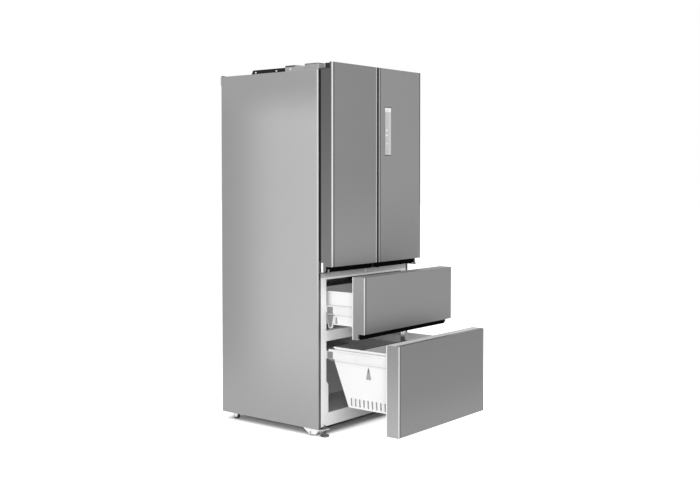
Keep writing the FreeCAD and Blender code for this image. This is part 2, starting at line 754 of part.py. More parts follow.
def flip_mullion():
    """Centre bar that closes the gap between the doors, stored folded back beside the left door's dyke."""
    half = BAR_THICKNESS / 2
    x = (BAR_PIVOT_X - half, BAR_PIVOT_X + half)
    y = (BAR_PIVOT_Y - BAR_TAIL, BAR_PIVOT_Y + BAR_REACH)
    low, high = bar_span()
    pin_z = (low - BAR_LUG, high + BAR_LUG)
    pin = rod("z", (BAR_PIVOT_X, BAR_PIVOT_Y), BAR_PIN, pin_z)
    return fused(block(x, y, (low, high)), pin)


def door_gasket():
    """Rubber ring of the left door."""
    x = (-HALF + GASKET_OUTER, DOOR_X[1] - GASKET_LAP)
    z = (DOOR_LEDGE + GASKET_MARGIN, BODY_TOP - GASKET_MARGIN)
    return gasket(x, z, (x[0] + GASKET_WIDTH, x[1] - GASKET_WIDTH))


def door_balconies():
    """Three open trays held between the dyke's walls of the left door."""
    x = (DYKE_X[0] + DYKE_WIDTH + SEAT_GAP, DYKE_X[1] - DYKE_WIDTH - SEAT_GAP)
    y = (FRONT_BACK + SEAT_GAP, FRONT_BACK + BALCONY_DEPTH)
    low = DYKE_Z[0] + DYKE_WIDTH
    height = DYKE_Z[1] - DYKE_WIDTH - low
    w = BALCONY_WALL
    trays = []
    for share in BALCONY_FLOOR_SHARES:
        floor = low + share * height
        tray = block(x, y, (floor, floor + BALCONY_HEIGHT))
        tray = rounded(tray, BALCONY_ROUND, 2, lambda p: p.y > 0)
        inside_z = (floor + w, floor + BALCONY_HEIGHT + OVERRUN)
        inside = block((x[0] + w, x[1] - w), (y[0] + w, y[1] - w), inside_z)
        inside = rounded(inside, BALCONY_ROUND - w, 2, lambda p: p.y > 0)
        trays.append(tray.cut(inside))
    return trays


def touch_display():
    """Glass strip with touch fields on the right door's face."""
    x = (DISPLAY_LEFT, DISPLAY_LEFT + DISPLAY_WIDTH)
    top = DOOR_TOP - DISPLAY_DROP
    return block(x, (FRONT_FACE - DISPLAY_PROUD, FRONT_FACE), (top - DISPLAY_HEIGHT, top))


# Hinges

def top_hinge():
    """Left top hinge: plate on the cabinet, arm over the door and a pin down into its cap."""
    z = (BODY_TOP, BODY_TOP + HINGE_PLATE)
    plate = block((-HALF + HINGE_PLATE, -HALF + HINGE_WIDTH), (HINGE_PLATE, HINGE_REACH), z)
    arm = block((PIN_X - ARM_HALF, PIN_X + ARM_HALF), (PIN_Y, HINGE_REACH), z)
    nose = rod("z", (PIN_X, PIN_Y), ARM_HALF, z)
    pin = rod("z", (PIN_X, PIN_Y), PIN_RADIUS, (BODY_TOP - PIN_LENGTH, z[1]))
    return fused(plate, arm, nose, pin)


def middle_hinge():
    """Left middle hinge: plate on the frame, arm under the door and a pin up into its cap."""
    top = MIDDLE_ARM_TOP
    half = FRAME_PLATE_WIDTH / 2
    z = (top - HINGE_PLATE, top)
    x = (PIN_X - half, PIN_X + half)
    plate = block((x[0] + HINGE_PLATE, x[1]), (-HINGE_PLATE, 0), (z[0], top + FRAME_PLATE_HEIGHT))
    arm = block((PIN_X - ARM_HALF, PIN_X + ARM_HALF), (PIN_Y, 0), z)
    nose = rod("z", (PIN_X, PIN_Y), ARM_HALF, z)
    washer = rod("z", (PIN_X, PIN_Y), WASHER_RADIUS, (top, DOOR_LEDGE - SEAT_GAP))
    pin = rod("z", (PIN_X, PIN_Y), PIN_RADIUS, (top, top + PIN_LENGTH))
    return fused(plate, arm, nose, washer, pin)


def hinge_cover():
    """Left cover over the top hinge plate, open below and at the front."""
    w = COVER_WALL
    z = (BODY_TOP, BODY_TOP + COVER_HEIGHT)
    cover = block((-HALF, -HALF + COVER_WIDTH), (0, COVER_DEPTH), z)
    cover = rounded(cover, w, 1, lambda p: p.z > z[1] - SAME_PLACE)
    inside_x = (-HALF + w, -HALF + COVER_WIDTH - w)
    return cover.cut(block(inside_x, (-OVERRUN, COVER_DEPTH - w), (z[0] - OVERRUN, z[1] - w)))


# Drawers

def drawer_core(top, lip, ledge):
    """Foam block of a drawer front."""
    low = lip + GRIP_RISE if ledge < lip else lip + PANEL_WALL
    return inside_skin(DRAWER_X, (low, top - PANEL_WALL))


def drawer_panel(top, lip, ledge, opening):
    """Inner panel of a drawer front: back plate, top and bottom edges and a raised plateau."""
    x = (-HALF + SKIN, HALF - SKIN)
    plate_x = (-HALF + SKIN_RETURN, HALF - SKIN_RETURN)
    plate = block(plate_x, (CORE_BACK, FRONT_BACK), (ledge, top))
    flange_back = FRONT_FACE + SKIN_FLANGE
    top_edge = block(x, (flange_back, CORE_BACK), (top - PANEL_WALL, top))
    low, high = opening
    plateau_x = INNER_HALF - STEP_WIDTH - PLATEAU_MARGIN
    plateau = block(
        (-plateau_x, plateau_x), (FRONT_BACK, PLATEAU_BACK), (low + PLATEAU_MARGIN, high - PLATEAU_MARGIN)
    )
    if ledge < lip:
        bottom = ledge_block(DRAWER_X, DRAWER_POCKET_X, lip, ledge)
    else:
        bottom = inside_skin(DRAWER_X, (lip, lip + PANEL_WALL))
    return fused(plate, top_edge, plateau, bottom)


def drawer_gasket(z):
    """Rubber ring of a drawer front."""
    x = (-HALF + GASKET_OUTER, HALF - GASKET_OUTER)
    return gasket(x, z, (x[0] + GASKET_WIDTH, x[1] - GASKET_WIDTH))


def outer_channel(middle_z, length):
    """Fixed left channel of a slide, against the liner."""
    reach = TONGUE_HALF + 2 * (RAIL_CLEARANCE + RAIL_SHEET)
    return channel(-INNER_HALF, reach, middle_z, (RAIL_START, RAIL_START + length))


def middle_channel(middle_z, length):
    """Left middle channel of a slide, inside the outer one."""
    reach = TONGUE_HALF + RAIL_CLEARANCE + RAIL_SHEET
    web = -INNER_HALF + RAIL_SHEET + RAIL_CLEARANCE
    return channel(web, reach, middle_z, (RAIL_START, RAIL_START + length))


def channel(x, reach, middle_z, y):
    """A C-shaped rail that opens towards the bin, with its web at x."""
    t = RAIL_SHEET
    open_x = -BIN_HALF - BAND - RAIL_CLEARANCE
    web = block((x, x + t), y, (middle_z - reach, middle_z + reach))
    low = block((x, open_x), y, (middle_z - reach, middle_z - reach + t))
    high = block((x, open_x), y, (middle_z + reach - t, middle_z + reach))
    return fused(web, low, high)


def inner_rail(band, length):
    """Left runner of a drawer: a band beside the bin with a tongue in the middle channel."""
    middle_z = (band[0] + band[1]) / 2
    y = (INNER_RAIL_GAP + PLATEAU_BACK, INNER_RAIL_GAP + PLATEAU_BACK + length)
    cover = block((-BIN_HALF - BAND, -BIN_HALF), y, band)
    tongue_x = (-INNER_HALF + 2 * (RAIL_SHEET + RAIL_CLEARANCE), -BIN_HALF - BAND)
    tongue = block(tongue_x, y, (middle_z - TONGUE_HALF, middle_z + TONGUE_HALF))
    return fused(cover, tongue)


def triangle_recess(middle_y, z):
    """A shallow upright triangle, apex up, pressed into the left wall of a bin."""
    low, high = z
    half = RECESS_WIDTH / 2
    points = [(middle_y - half, low), (middle_y + half, low), (middle_y, high)]
    return prism("x", points, (-BIN_HALF - OVERRUN, -BIN_HALF + RECESS_DEPTH))


def upper_bin():
    """Shallow open bin of the upper drawer with a rim all round."""
    w = BIN_WALL
    half = BIN_HALF
    y = (BIN_FRONT, UPPER_BIN_BACK)
    outer = block((-half, half), y, (UPPER_BIN_BOTTOM, UPPER_BIN_TOP))
    outer = rounded(outer, BIN_ROUND, 2, lambda p: True)
    rim_z = (UPPER_BIN_TOP - RIM_HEIGHT, UPPER_BIN_TOP)
    rim = block((-half - RIM_WIDTH, half + RIM_WIDTH), (y[0], y[1] + RIM_WIDTH), rim_z)
    rim = rounded(rim, BIN_ROUND, 2, lambda p: True)
    inner_z = (UPPER_BIN_BOTTOM + w, UPPER_BIN_TOP + OVERRUN)
    inner = block((-half + w, half - w), (y[0] + w, y[1] - w), inner_z)
    inner = rounded(inner, BIN_ROUND - w, 2, lambda p: True)
    recess_low = UPPER_BIN_BOTTOM + UPPER_RECESS_RISE
    recess = triangle_recess(UPPER_RECESS_Y, (recess_low, recess_low + UPPER_RECESS_HEIGHT))
    return fused(outer, rim).cut(inner).cut(recess).cut(mirrored(recess))


def lower_bin_body(inset, top):
    """The lower bin's outer or inner body, tapered below its shoulder and slanted at the back."""
    low = LOWER_BIN_BOTTOM + inset
    side = prism("x", [
        (BIN_FRONT + inset, low),
        (LOWER_BIN_FOOT - inset, low),
        (LOWER_BIN_BACK - inset, LOWER_BIN_SHOULDER),
        (LOWER_BIN_BACK - inset, top),
        (BIN_FRONT + inset, top),
    ], (-HALF, HALF))
    right = [
        (LOWER_BIN_FOOT_HALF - inset, low),
        (BIN_HALF - inset, LOWER_BIN_SHOULDER),
        (BIN_HALF - inset, top),
    ]
    outline = right + [(-x, z) for x, z in reversed(right)]
    body = side.common(prism("y", outline, (0, BODY_DEPTH)))
    return rounded(body, BIN_ROUND - inset, 0, lambda p: p.z < low + SAME_PLACE and p.y > LOWER_BIN_FOOT / 2)


def lower_bin():
    """Deep open bin of the lower drawer with a rim, vent slots near its floor and a slanted, lower back."""
    rim_z = (LOWER_BIN_TOP - RIM_HEIGHT, LOWER_BIN_TOP)
    rim_half = BIN_HALF + RIM_WIDTH
    rim = block((-rim_half, rim_half), (BIN_FRONT, LOWER_BIN_BACK + RIM_WIDTH), rim_z)
    body = fused(lower_bin_body(0, LOWER_BIN_TOP), rim)
    body = body.cut(lower_bin_body(BIN_WALL, LOWER_BIN_TOP + OVERRUN))
    corner = BIN_HALF - BACK_WALL_CORNER
    back = (LOWER_BIN_BACK - BIN_WALL - OVERRUN, LOWER_BIN_BACK + RIM_WIDTH + OVERRUN)
    mouth = block((-corner, corner), back, (LOWER_BIN_TOP - BACK_WALL_DROP, LOWER_BIN_TOP + OVERRUN))
    body = body.cut(mouth)
    slot_z = (LOWER_BIN_BOTTOM + SLOT_RISE, LOWER_BIN_BOTTOM + SLOT_RISE + SLOT_HEIGHT)
    for k in range(SLOT_COUNT):
        front = BIN_FRONT + SLOT_FIRST + k * SLOT_PITCH
        slot = block((-HALF, HALF), (front, front + SLOT_WIDTH), slot_z)
        slot = rounded(slot, SLOT_ROUND, 0, lambda p: True)
        body = body.cut(slot)
    recess = triangle_recess(RECESS_Y, (LOWER_BIN_SHOULDER - RECESS_HEIGHT, LOWER_BIN_SHOULDER))
    return body.cut(recess).cut(mirrored(recess))


# Fridge fittings

def glass_shelves():
    """Three glass shelves on the liner's ledges, each with a raised rear edge."""
    x = (-INNER_HALF + SHELF_GAP, INNER_HALF - SHELF_GAP)
    y = (SHELF_FRONT, INNER_BACK - FRIDGE_DUCT_DEPTH - SHELF_GAP)
    shelves = []
    for height in shelf_heights():
        plate = block(x, y, (height, height + SHELF_THICKNESS))
        rear = block(x, (y[1] - SHELF_THICKNESS, y[1]), (height, height + SHELF_TRIM + SHELF_THICKNESS))
        shelves.append(fused(plate, rear))
    return shelves


def crispers():
    """Two open vegetable drawers side by side under the lowest shelf."""
    w = CRISPER_WALL
    gap = CRISPER_GAP / 2
    x = (-INNER_HALF + CRISPER_GAP + LEDGE_WIDTH, -gap)
    y = (SHELF_FRONT + CRISPER_SETBACK, INNER_BACK - FRIDGE_DUCT_DEPTH)
    low = FRIDGE_FLOOR
    top = low + CRISPER_SHARE * FRIDGE_HEIGHT
    tray = block(x, y, (low + CRISPER_FOOT, top))
    inside = block((x[0] + w, x[1] - w), (y[0] + w, y[1] - w), (low + CRISPER_FOOT + w, top + OVERRUN))
    tray = rounded(tray, BIN_ROUND, 2, lambda p: True)
    inside = rounded(inside, BIN_ROUND - w, 2, lambda p: True)
    skid_x = (x[0] + BIN_ROUND, x[0] + BIN_ROUND + w)
    skid = block(skid_x, (y[0] + BIN_ROUND, y[1] - BIN_ROUND), (low, low + CRISPER_FOOT))
    other_x = (x[1] - BIN_ROUND - w, x[1] - BIN_ROUND)
    other = block(other_x, (y[0] + BIN_ROUND, y[1] - BIN_ROUND), (low, low + CRISPER_FOOT))
    return both(fused(tray.cut(inside), skid, other))


def vent_rows(first_z, rows, pitch, y):
    """Slots through a duct panel, one above another."""
    half = VENT_WIDTH / 2
    slots = []
    for k in range(rows):
        low = first_z + k * pitch
        slots.append(block((-half, half), y, (low, low + VENT_HEIGHT)))
    return slots


def air_ducts():
    """Freezer rear cover with its fan hole and vents, and the fridge's flat air duct."""
    half = INNER_HALF - SHELF_GAP
    y = (DUCT_PANEL_Y, DUCT_PANEL_Y + DUCT_WALL)
    through = (y[0] - OVERRUN, y[1] + OVERRUN)
    panel = block((-half, half), y, (STEP_TOP, FREEZER_CEILING))
    hole_radius = FAN_RADIUS + FAN_TIP_GAP
    panel = panel.cut(rod("y", (0, FAN_Z), hole_radius, through))
    for slot in vent_rows(STEP_TOP + VENT_PITCH, VENT_ROWS, VENT_PITCH / 2, through):
        panel = panel.cut(slot)
    bridge_z = (FAN_Z - MOTOR_RADIUS / 2, FAN_Z + MOTOR_RADIUS / 2)
    bridge = block((-hole_radius - DUCT_WALL, hole_radius + DUCT_WALL), y, bridge_z)
    motor_y = (y[1], y[1] + MOTOR_DEPTH)
    motor = rod("y", (0, FAN_Z), MOTOR_RADIUS, motor_y)
    spindle = rod("y", (0, FAN_Z), SPINDLE_RADIUS, (y[1], motor_y[1] + FAN_DEPTH))
    freezer = fused(panel, bridge, motor, spindle)
    duct_y = (INNER_BACK - FRIDGE_DUCT_DEPTH, INNER_BACK)
    duct = block((-FRIDGE_DUCT_HALF, FRIDGE_DUCT_HALF), duct_y, (FRIDGE_DUCT_BOTTOM, FRIDGE_DUCT_TOP))
    inside_x = (-FRIDGE_DUCT_HALF + DUCT_WALL, FRIDGE_DUCT_HALF - DUCT_WALL)
    inside_z = (FRIDGE_DUCT_BOTTOM + DUCT_WALL, FRIDGE_DUCT_TOP - DUCT_WALL)
    duct = duct.cut(block(inside_x, (duct_y[0] + DUCT_WALL, duct_y[1] + OVERRUN), inside_z))
    cut_y = (duct_y[0] - OVERRUN, duct_y[0] + DUCT_WALL + OVERRUN)
    for slot in vent_rows(FRIDGE_DUCT_BOTTOM + VENT_PITCH, 2 * VENT_ROWS, VENT_PITCH, cut_y):
        duct = duct.cut(slot)
    return [freezer, duct]


def fan_wheel(axis, centre, start):
    """A fan wheel: hub with a spindle bore and flat blades set along the axis."""
    hub = rod(axis, centre, FAN_HUB, (start, start + FAN_DEPTH))
    origin = Vector(start, *centre) if axis == "x" else Vector(centre[0], start, centre[1])
    blades = []
    for k in range(FAN_BLADES):
        blade = Part.makeBox(FAN_BLADE, FAN_DEPTH, FAN_RADIUS, Vector(-FAN_BLADE / 2, 0, 0))
        blade.rotate(Vector(0, FAN_DEPTH / 2, 0), Vector(0, 0, 1), BLADE_TILT)
        blade = blade.common(Part.makeBox(FAN_RADIUS, FAN_DEPTH, FAN_RADIUS, Vector(-FAN_RADIUS / 2, 0, 0)))
        blade.rotate(Vector(0, 0, 0), Vector(0, 1, 0), FULL_TURN * k / FAN_BLADES)
        blades.append(blade)
    if axis == "x":
        for blade in blades:
            blade.rotate(Vector(0, 0, 0), Vector(0, 0, 1), -QUARTER_TURN)
    for blade in blades:
        blade.translate(origin)
    wheel = fused(hub, *blades)
    bore_span = (start - OVERRUN, start + FAN_DEPTH + OVERRUN)
    return wheel.cut(rod(axis, centre, SPINDLE_RADIUS + SPINDLE_CLEARANCE, bore_span))


def evaporator():
    """Finned coil behind the freezer's rear cover, standing on the liner's step."""
    y = (INNER_BACK - SEAT_GAP - COIL_DEPTH, INNER_BACK - SEAT_GAP)
    pitch = 2 * COIL_HALF / (COIL_FINS - 1)
    fins = []
    for k in range(COIL_FINS):
        x = -COIL_HALF + k * pitch
        fins.append(block((x, x + FIN_SHEET), y, (STEP_TOP, COIL_TOP)))
    row = COIL_HEIGHT / TUBE_ROWS
    tube_x = (-COIL_HALF - TUBE_RADIUS, COIL_HALF + TUBE_RADIUS)
    tubes = []
    for k in range(TUBE_ROWS):
        z = STEP_TOP + k * row + row / 2
        tubes.append(rod("x", ((y[0] + y[1]) / 2, z), TUBE_RADIUS, tube_x))
    return fused(fins[0], *fins[1:], *tubes)


def compressor():
    """Welded compressor pot on a mounting plate with four rubber grommets and a side terminal box."""
    low = ROOM_FLOOR
    plate_z = (low + COMPRESSOR_LOW, low + COMPRESSOR_LOW + MOUNT_PLATE)
    centre = (COMPRESSOR_X, COMPRESSOR_Y)
    pot = rod("z", centre, COMPRESSOR_RADIUS, (plate_z[1], plate_z[1] + COMPRESSOR_HEIGHT))
    pot = pot.makeFillet(COMPRESSOR_ROUND, [e for e in pot.Edges if e.Closed])
    seat = rod("z", centre, COMPRESSOR_RADIUS - COMPRESSOR_ROUND, (plate_z[0], plate_z[1] + OVERRUN))
    plate_x = (COMPRESSOR_X - MOUNT_HALF_X, COMPRESSOR_X + MOUNT_HALF_X)
    plate = block(plate_x, (COMPRESSOR_Y - MOUNT_HALF_Y, COMPRESSOR_Y + MOUNT_HALF_Y), plate_z)
    grommets = []
    for sx in (-1, 1):
        for sy in (-1, 1):
            gx = COMPRESSOR_X + sx * (MOUNT_HALF_X - GROMMET_RADIUS)
            gy = COMPRESSOR_Y + sy * (MOUNT_HALF_Y - GROMMET_RADIUS)
            grommets.append(rod("z", (gx, gy), GROMMET_RADIUS, (low, plate_z[0])))
    side = COMPRESSOR_X + COMPRESSOR_RADIUS
    box_z = [plate_z[1] + share * COMPRESSOR_HEIGHT for share in TERMINAL_SHARES]
    terminal = block(
        (side - COMPRESSOR_ROUND, side + COMPRESSOR_ROUND / 2),
        (COMPRESSOR_Y - COMPRESSOR_ROUND, COMPRESSOR_Y + COMPRESSOR_ROUND),
        box_z,
    )
    return fused(pot, seat, plate, terminal, *grommets)


def condenser():
    """Finned coil on two feet, and the frame that carries its fan's motor."""
    low = ROOM_FLOOR
    x = (-CONDENSER_LEFT, -CONDENSER_LEFT + CONDENSER_WIDTH)
    y = (BODY_DEPTH - CONDENSER_INSET - CONDENSER_DEPTH, BODY_DEPTH - CONDENSER_INSET)
    z = (low + CONDENSER_FOOT, low + CONDENSER_FOOT + CONDENSER_HEIGHT)
    pitch = (y[1] - y[0]) / (CONDENSER_FINS - 1)
    fins = []
    for k in range(CONDENSER_FINS):
        front = y[0] + k * pitch
        fins.append(block(x, (front, front + FIN_SHEET), z))
    row = CONDENSER_HEIGHT / TUBE_ROWS
    tubes = []
    for k in range(TUBE_ROWS):
        level = z[0] + k * row + row / 2
        tube_y = (y[0] - TUBE_RADIUS, y[1] + TUBE_RADIUS)
        tubes.append(rod("y", ((x[0] + x[1]) / 2, level), TUBE_RADIUS, tube_y))
    foot = block(x, (y[0], y[1] + FIN_SHEET), (low, z[0]))
    coil = fused(foot, *fins, *tubes)
    frame_x = (ROOM_FAN_X - FAN_FRAME, ROOM_FAN_X)
    half = FAN_FRAME_HALF
    frame = block(frame_x, (ROOM_FAN_Y - half, ROOM_FAN_Y + half), (low, ROOM_FAN_Z + half))
    through = (frame_x[0] - OVERRUN, frame_x[1] + OVERRUN)
    frame = frame.cut(rod("x", (ROOM_FAN_Y, ROOM_FAN_Z), FAN_RADIUS + FAN_TIP_GAP, through))
    arm_z = (ROOM_FAN_Z - FAN_HUB / 2, ROOM_FAN_Z + FAN_HUB / 2)
    arm = block(frame_x, (ROOM_FAN_Y - half, ROOM_FAN_Y + half), arm_z)
    motor_x = (ROOM_FAN_X - FAN_FRAME - MOTOR_DEPTH, ROOM_FAN_X)
    motor = rod("x", (ROOM_FAN_Y, ROOM_FAN_Z), MOTOR_RADIUS, motor_x)
    spindle_x = (motor_x[0], ROOM_FAN_X + MOTOR_GAP + FAN_DEPTH)
    spindle = rod("x", (ROOM_FAN_Y, ROOM_FAN_Z), SPINDLE_RADIUS, spindle_x)
    return [coil, fused(frame, arm, motor, spindle)]


def machine_cover():
    """Slotted rear cover of the machine room with the gland of the mains cable."""
    x = LINER_HALF
    y = (BODY_DEPTH - SHEET - SHEET, BODY_DEPTH - SHEET)
    cover = block((-x, x), y, (SILL_BOTTOM, ROOM_TOP))
    through = (y[0] - OVERRUN, y[1] + OVERRUN)
    middle = (SILL_BOTTOM + ROOM_TOP) / 2
    slot_z = (middle - COVER_SLOT_HEIGHT / 2, middle + COVER_SLOT_HEIGHT / 2)
    for k in range(COVER_SLOTS):
        left = (k - COVER_SLOTS / 2) * COVER_SLOT_PITCH
        cover = cover.cut(block((left, left + COVER_SLOT_WIDTH), through, slot_z))
    gland_z = SILL_BOTTOM + GLAND_RISE
    gland = rod("y", (GLAND_X, gland_z), GLAND_RADIUS, (y[1], y[1] + GLAND_LENGTH))
    bore = rod("y", (GLAND_X, gland_z), GLAND_BORE, (through[0], y[1] + GLAND_LENGTH + OVERRUN))
    return fused(cover, gland).cut(bore)


def control_cover():
    """Cover of the control board on the top, and the low cable duct in front of it."""
    x = CONTROL_HALF
    z = (BODY_TOP, BODY_TOP + CONTROL_HEIGHT)
    s = CONTROL_SLOPE
    side = prism("x", [
        (CONTROL_FRONT, z[0]),
        (CONTROL_BACK, z[0]),
        (CONTROL_BACK - s, z[1]),
        (CONTROL_FRONT + s, z[1]),
    ], (-x, x))
    front = prism("y", [(-x, z[0]), (x, z[0]), (x - s, z[1]), (s - x, z[1])], (CONTROL_FRONT, CONTROL_BACK))
    w = COVER_WALL
    hollow = block(
        (-x + s + w, x - s - w), (CONTROL_FRONT + s + w, CONTROL_BACK - s - w), (z[0] - OVERRUN, z[1] - w)
    )
    box = side.common(front).cut(hollow)
    duct = prism("x", [
        (CONTROL_FRONT - DUCT_LENGTH, z[0]),
        (CONTROL_FRONT, z[0]),
        (CONTROL_FRONT, z[0] + DUCT_HEIGHT),
        (CONTROL_FRONT - DUCT_FLAT_SHARE * DUCT_LENGTH, z[0] + DUCT_HEIGHT),
        (CONTROL_FRONT - DUCT_LENGTH, z[0] + DUCT_END),
    ], DUCT_X)
    return [box, duct]


# Feet and rollers

def levelling_foot():
    """Left foot: a disc with a threaded stud."""
    disc = rod("z", (-FOOT_X, FOOT_Y), FOOT_RADIUS, (0, FOOT_DISC))
    top_edges = [e for e in disc.Edges if e.Closed and e.CenterOfMass.z > FOOT_DISC / 2]
    disc = disc.makeChamfer(FOOT_CHAMFER, top_edges)
    stud = rod("z", (-FOOT_X, FOOT_Y), STUD_RADIUS, (FOOT_DISC - OVERRUN, STUD_TOP))
    return fused(disc, stud)


def front_bracket():
    """Left front bracket: a curved side cheek, an inner cheek, a plate with the foot's hole and the axle."""
    top = BODY_BOTTOM
    t = BRACKET_SHEET
    outer = -HALF + t
    inner = outer + BRACKET_WIDTH + FOOT_RADIUS
    plate = block((outer, inner), (-BRACKET_REACH, BRACKET_LENGTH), (top - t, top))
    plate = plate.cut(rod("z", (-FOOT_X, FOOT_Y), STUD_RADIUS + SPINDLE_CLEARANCE, (0, BODY_TOP)))
    cheek = prism("x", [
        (FOOT_RADIUS + t, BRACKET_LOW),
        (BRACKET_TAPER, BRACKET_LOW),
        (BRACKET_LENGTH, top - t),
        (0, top - t),
    ], (outer, outer + t))
    wheel = ROLLER_WIDTH / 2 + ROLLER_GAP
    near = prism("x", [
        (FOOT_RADIUS + t, BRACKET_LOW),
        (BRACKET_TAPER, BRACKET_LOW),
        (BRACKET_LENGTH, top - t),
        (FOOT_RADIUS + t, top - t),
    ], (-ROLLER_X + wheel, -ROLLER_X + wheel + t))
    axle = rod("x", (FRONT_AXLE_Y, FRONT_AXLE_Z), AXLE_RADIUS, (outer, -ROLLER_X + wheel + t))
    return fused(plate, cheek, near, axle)


def rear_bracket():
    """Left rear bracket: two cheeks under the tray with the axle between them."""
    t = BRACKET_SHEET
    wheel = ROLLER_WIDTH / 2 + ROLLER_GAP
    half = REAR_ROLLER + t
    pieces = []
    for low in (-ROLLER_X - wheel - t, -ROLLER_X + wheel):
        cheek = prism("x", [
            (REAR_AXLE_Y - AXLE_RADIUS - t, BRACKET_LOW),
            (REAR_AXLE_Y + AXLE_RADIUS + t, BRACKET_LOW),
            (REAR_AXLE_Y + half, BODY_BOTTOM),
            (REAR_AXLE_Y - half, BODY_BOTTOM),
        ], (low, low + t))
        pieces.append(cheek)
    axle_x = (-ROLLER_X - wheel - t, -ROLLER_X + wheel + t)
    pieces.append(rod("x", (REAR_AXLE_Y, REAR_ROLLER), AXLE_RADIUS, axle_x))
    return fused(*pieces)


def roller(y, z, radius):
    """Left roller with its axle bore and rounded edges."""
    x = (-ROLLER_X - ROLLER_WIDTH / 2, -ROLLER_X + ROLLER_WIDTH / 2)
    wheel = rod("x", (y, z), radius, x)
    wheel = wheel.makeFillet(FOOT_CHAMFER, [e for e in wheel.Edges if e.Closed])
    bore = rod("x", (y, z), AXLE_RADIUS + AXLE_CLEARANCE, (x[0] - OVERRUN, x[1] + OVERRUN))
    return wheel.cut(bore)


def save_cabinet():
    """Writes the nodes that stay with the cabinet."""
    panel = side_panel()
    save("side_panel_left", panel)
    save("side_panel_right", mirrored(panel))
    save("top_panel", top_panel())
    save("back_panel", back_panel())
    save("base_tray", base_tray())
    save("insulation", *insulation())
    save("fridge_liner", fridge_liner())
    save("freezer_liner", freezer_liner())
    save("front_crossbars", *front_crossbars())
    save("glass_shelves", *glass_shelves())
    save("crispers", *crispers())
    save("air_ducts", *air_ducts())
    save("evaporator", evaporator())
    save("compressor", compressor())
    save("condenser", *condenser())
    save("machine_cover", machine_cover())
    save("control_cover", *control_cover())
    save("hinge_covers", *both(hinge_cover()))
    save("hinge_brackets", *both(top_hinge()), *both(middle_hinge()))
    upper = outer_channel(UPPER_RAIL_Z, UPPER_RAIL_LENGTH)
    lower = outer_channel(LOWER_RAIL_Z, LOWER_RAIL_LENGTH)
    save("outer_rails", *both(upper), *both(lower))
    save("roller_brackets", *both(front_bracket()), *both(rear_bracket()))


def save_doors():
    """Writes both doors; the right one mirrors the left one, without the centre bar."""
    trays = door_balconies()
    caps = door_caps()
    save("left_door_skin", door_skin())
    save("left_door_caps", *caps)
    save("left_door_core", door_core())
    save("left_door_liner", door_liner(True))
    save("left_door_gasket", door_gasket())
    save("left_door_grip", grip(DOOR_POCKET_X, DOOR_LIP, DOOR_LEDGE))
    save("left_door_balconies", *trays)
    save("flip_mullion", flip_mullion())
    save("right_door_skin", mirrored(door_skin()))
    save("right_door_caps", *[mirrored(cap) for cap in caps])
    save("right_door_core", mirrored(door_core()))
    save("right_door_liner", mirrored(door_liner(False)))
    save("right_door_gasket", mirrored(door_gasket()))
    save("right_door_grip", mirrored(grip(DOOR_POCKET_X, DOOR_LIP, DOOR_LEDGE)))
    save("right_door_balconies", *[mirrored(tray) for tray in trays])
    save("touch_display", touch_display())


def save_drawers():
    """Writes both drawers in their pulled-out places, and the middle channels half as far out."""
    x = DRAWER_X
    upper = -UPPER_PULL
    lower = -LOWER_PULL
    upper_z = (RAIL_TOP - GASKET_WIDTH, FREEZER_CEILING + GASKET_WIDTH)
    lower_z = (FREEZER_FLOOR - GASKET_WIDTH, RAIL_BOTTOM + GASKET_WIDTH)
    upper_panel = drawer_panel(UPPER_TOP, UPPER_LIP, UPPER_LEDGE, (RAIL_TOP, FREEZER_CEILING))
    lower_panel = drawer_panel(LOWER_TOP, LOWER_BOTTOM, LOWER_BOTTOM, (FREEZER_FLOOR, RAIL_BOTTOM))
    save("upper_drawer_skin", shifted(front_skin(x, UPPER_TOP, UPPER_LIP, UPPER_LEDGE, SKIN_FLANGE), upper))
    save("upper_drawer_core", shifted(drawer_core(UPPER_TOP, UPPER_LIP, UPPER_LEDGE), upper))
    save("upper_drawer_panel", shifted(upper_panel, upper))
    save("upper_drawer_gasket", shifted(drawer_gasket(upper_z), upper))
    save("upper_drawer_grip", shifted(grip(DRAWER_POCKET_X, UPPER_LIP, UPPER_LEDGE), upper))
    save("upper_bin", shifted(upper_bin(), upper))
    save("upper_inner_rails", *[shifted(r, upper) for r in both(inner_rail(UPPER_BAND, UPPER_RAIL_LENGTH))])
    middle = middle_channel(UPPER_RAIL_Z, UPPER_RAIL_LENGTH)
    save("upper_middle_rails", *[shifted(r, upper / 2) for r in both(middle)])
    lower_skin = front_skin(x, LOWER_TOP, LOWER_BOTTOM, LOWER_BOTTOM, SKIN_FLANGE)
    save("lower_drawer_skin", shifted(lower_skin, lower))
    save("lower_drawer_core", shifted(drawer_core(LOWER_TOP, LOWER_BOTTOM, LOWER_BOTTOM), lower))
    save("lower_drawer_panel", shifted(lower_panel, lower))
    save("lower_drawer_gasket", shifted(drawer_gasket(lower_z), lower))
    save("lower_bin", shifted(lower_bin(), lower))
    save("lower_inner_rails", *[shifted(r, lower) for r in both(inner_rail(LOWER_BAND, LOWER_RAIL_LENGTH))])
    middle = middle_channel(LOWER_RAIL_Z, LOWER_RAIL_LENGTH)
    save("lower_middle_rails", *[shifted(r, lower / 2) for r in both(middle)])


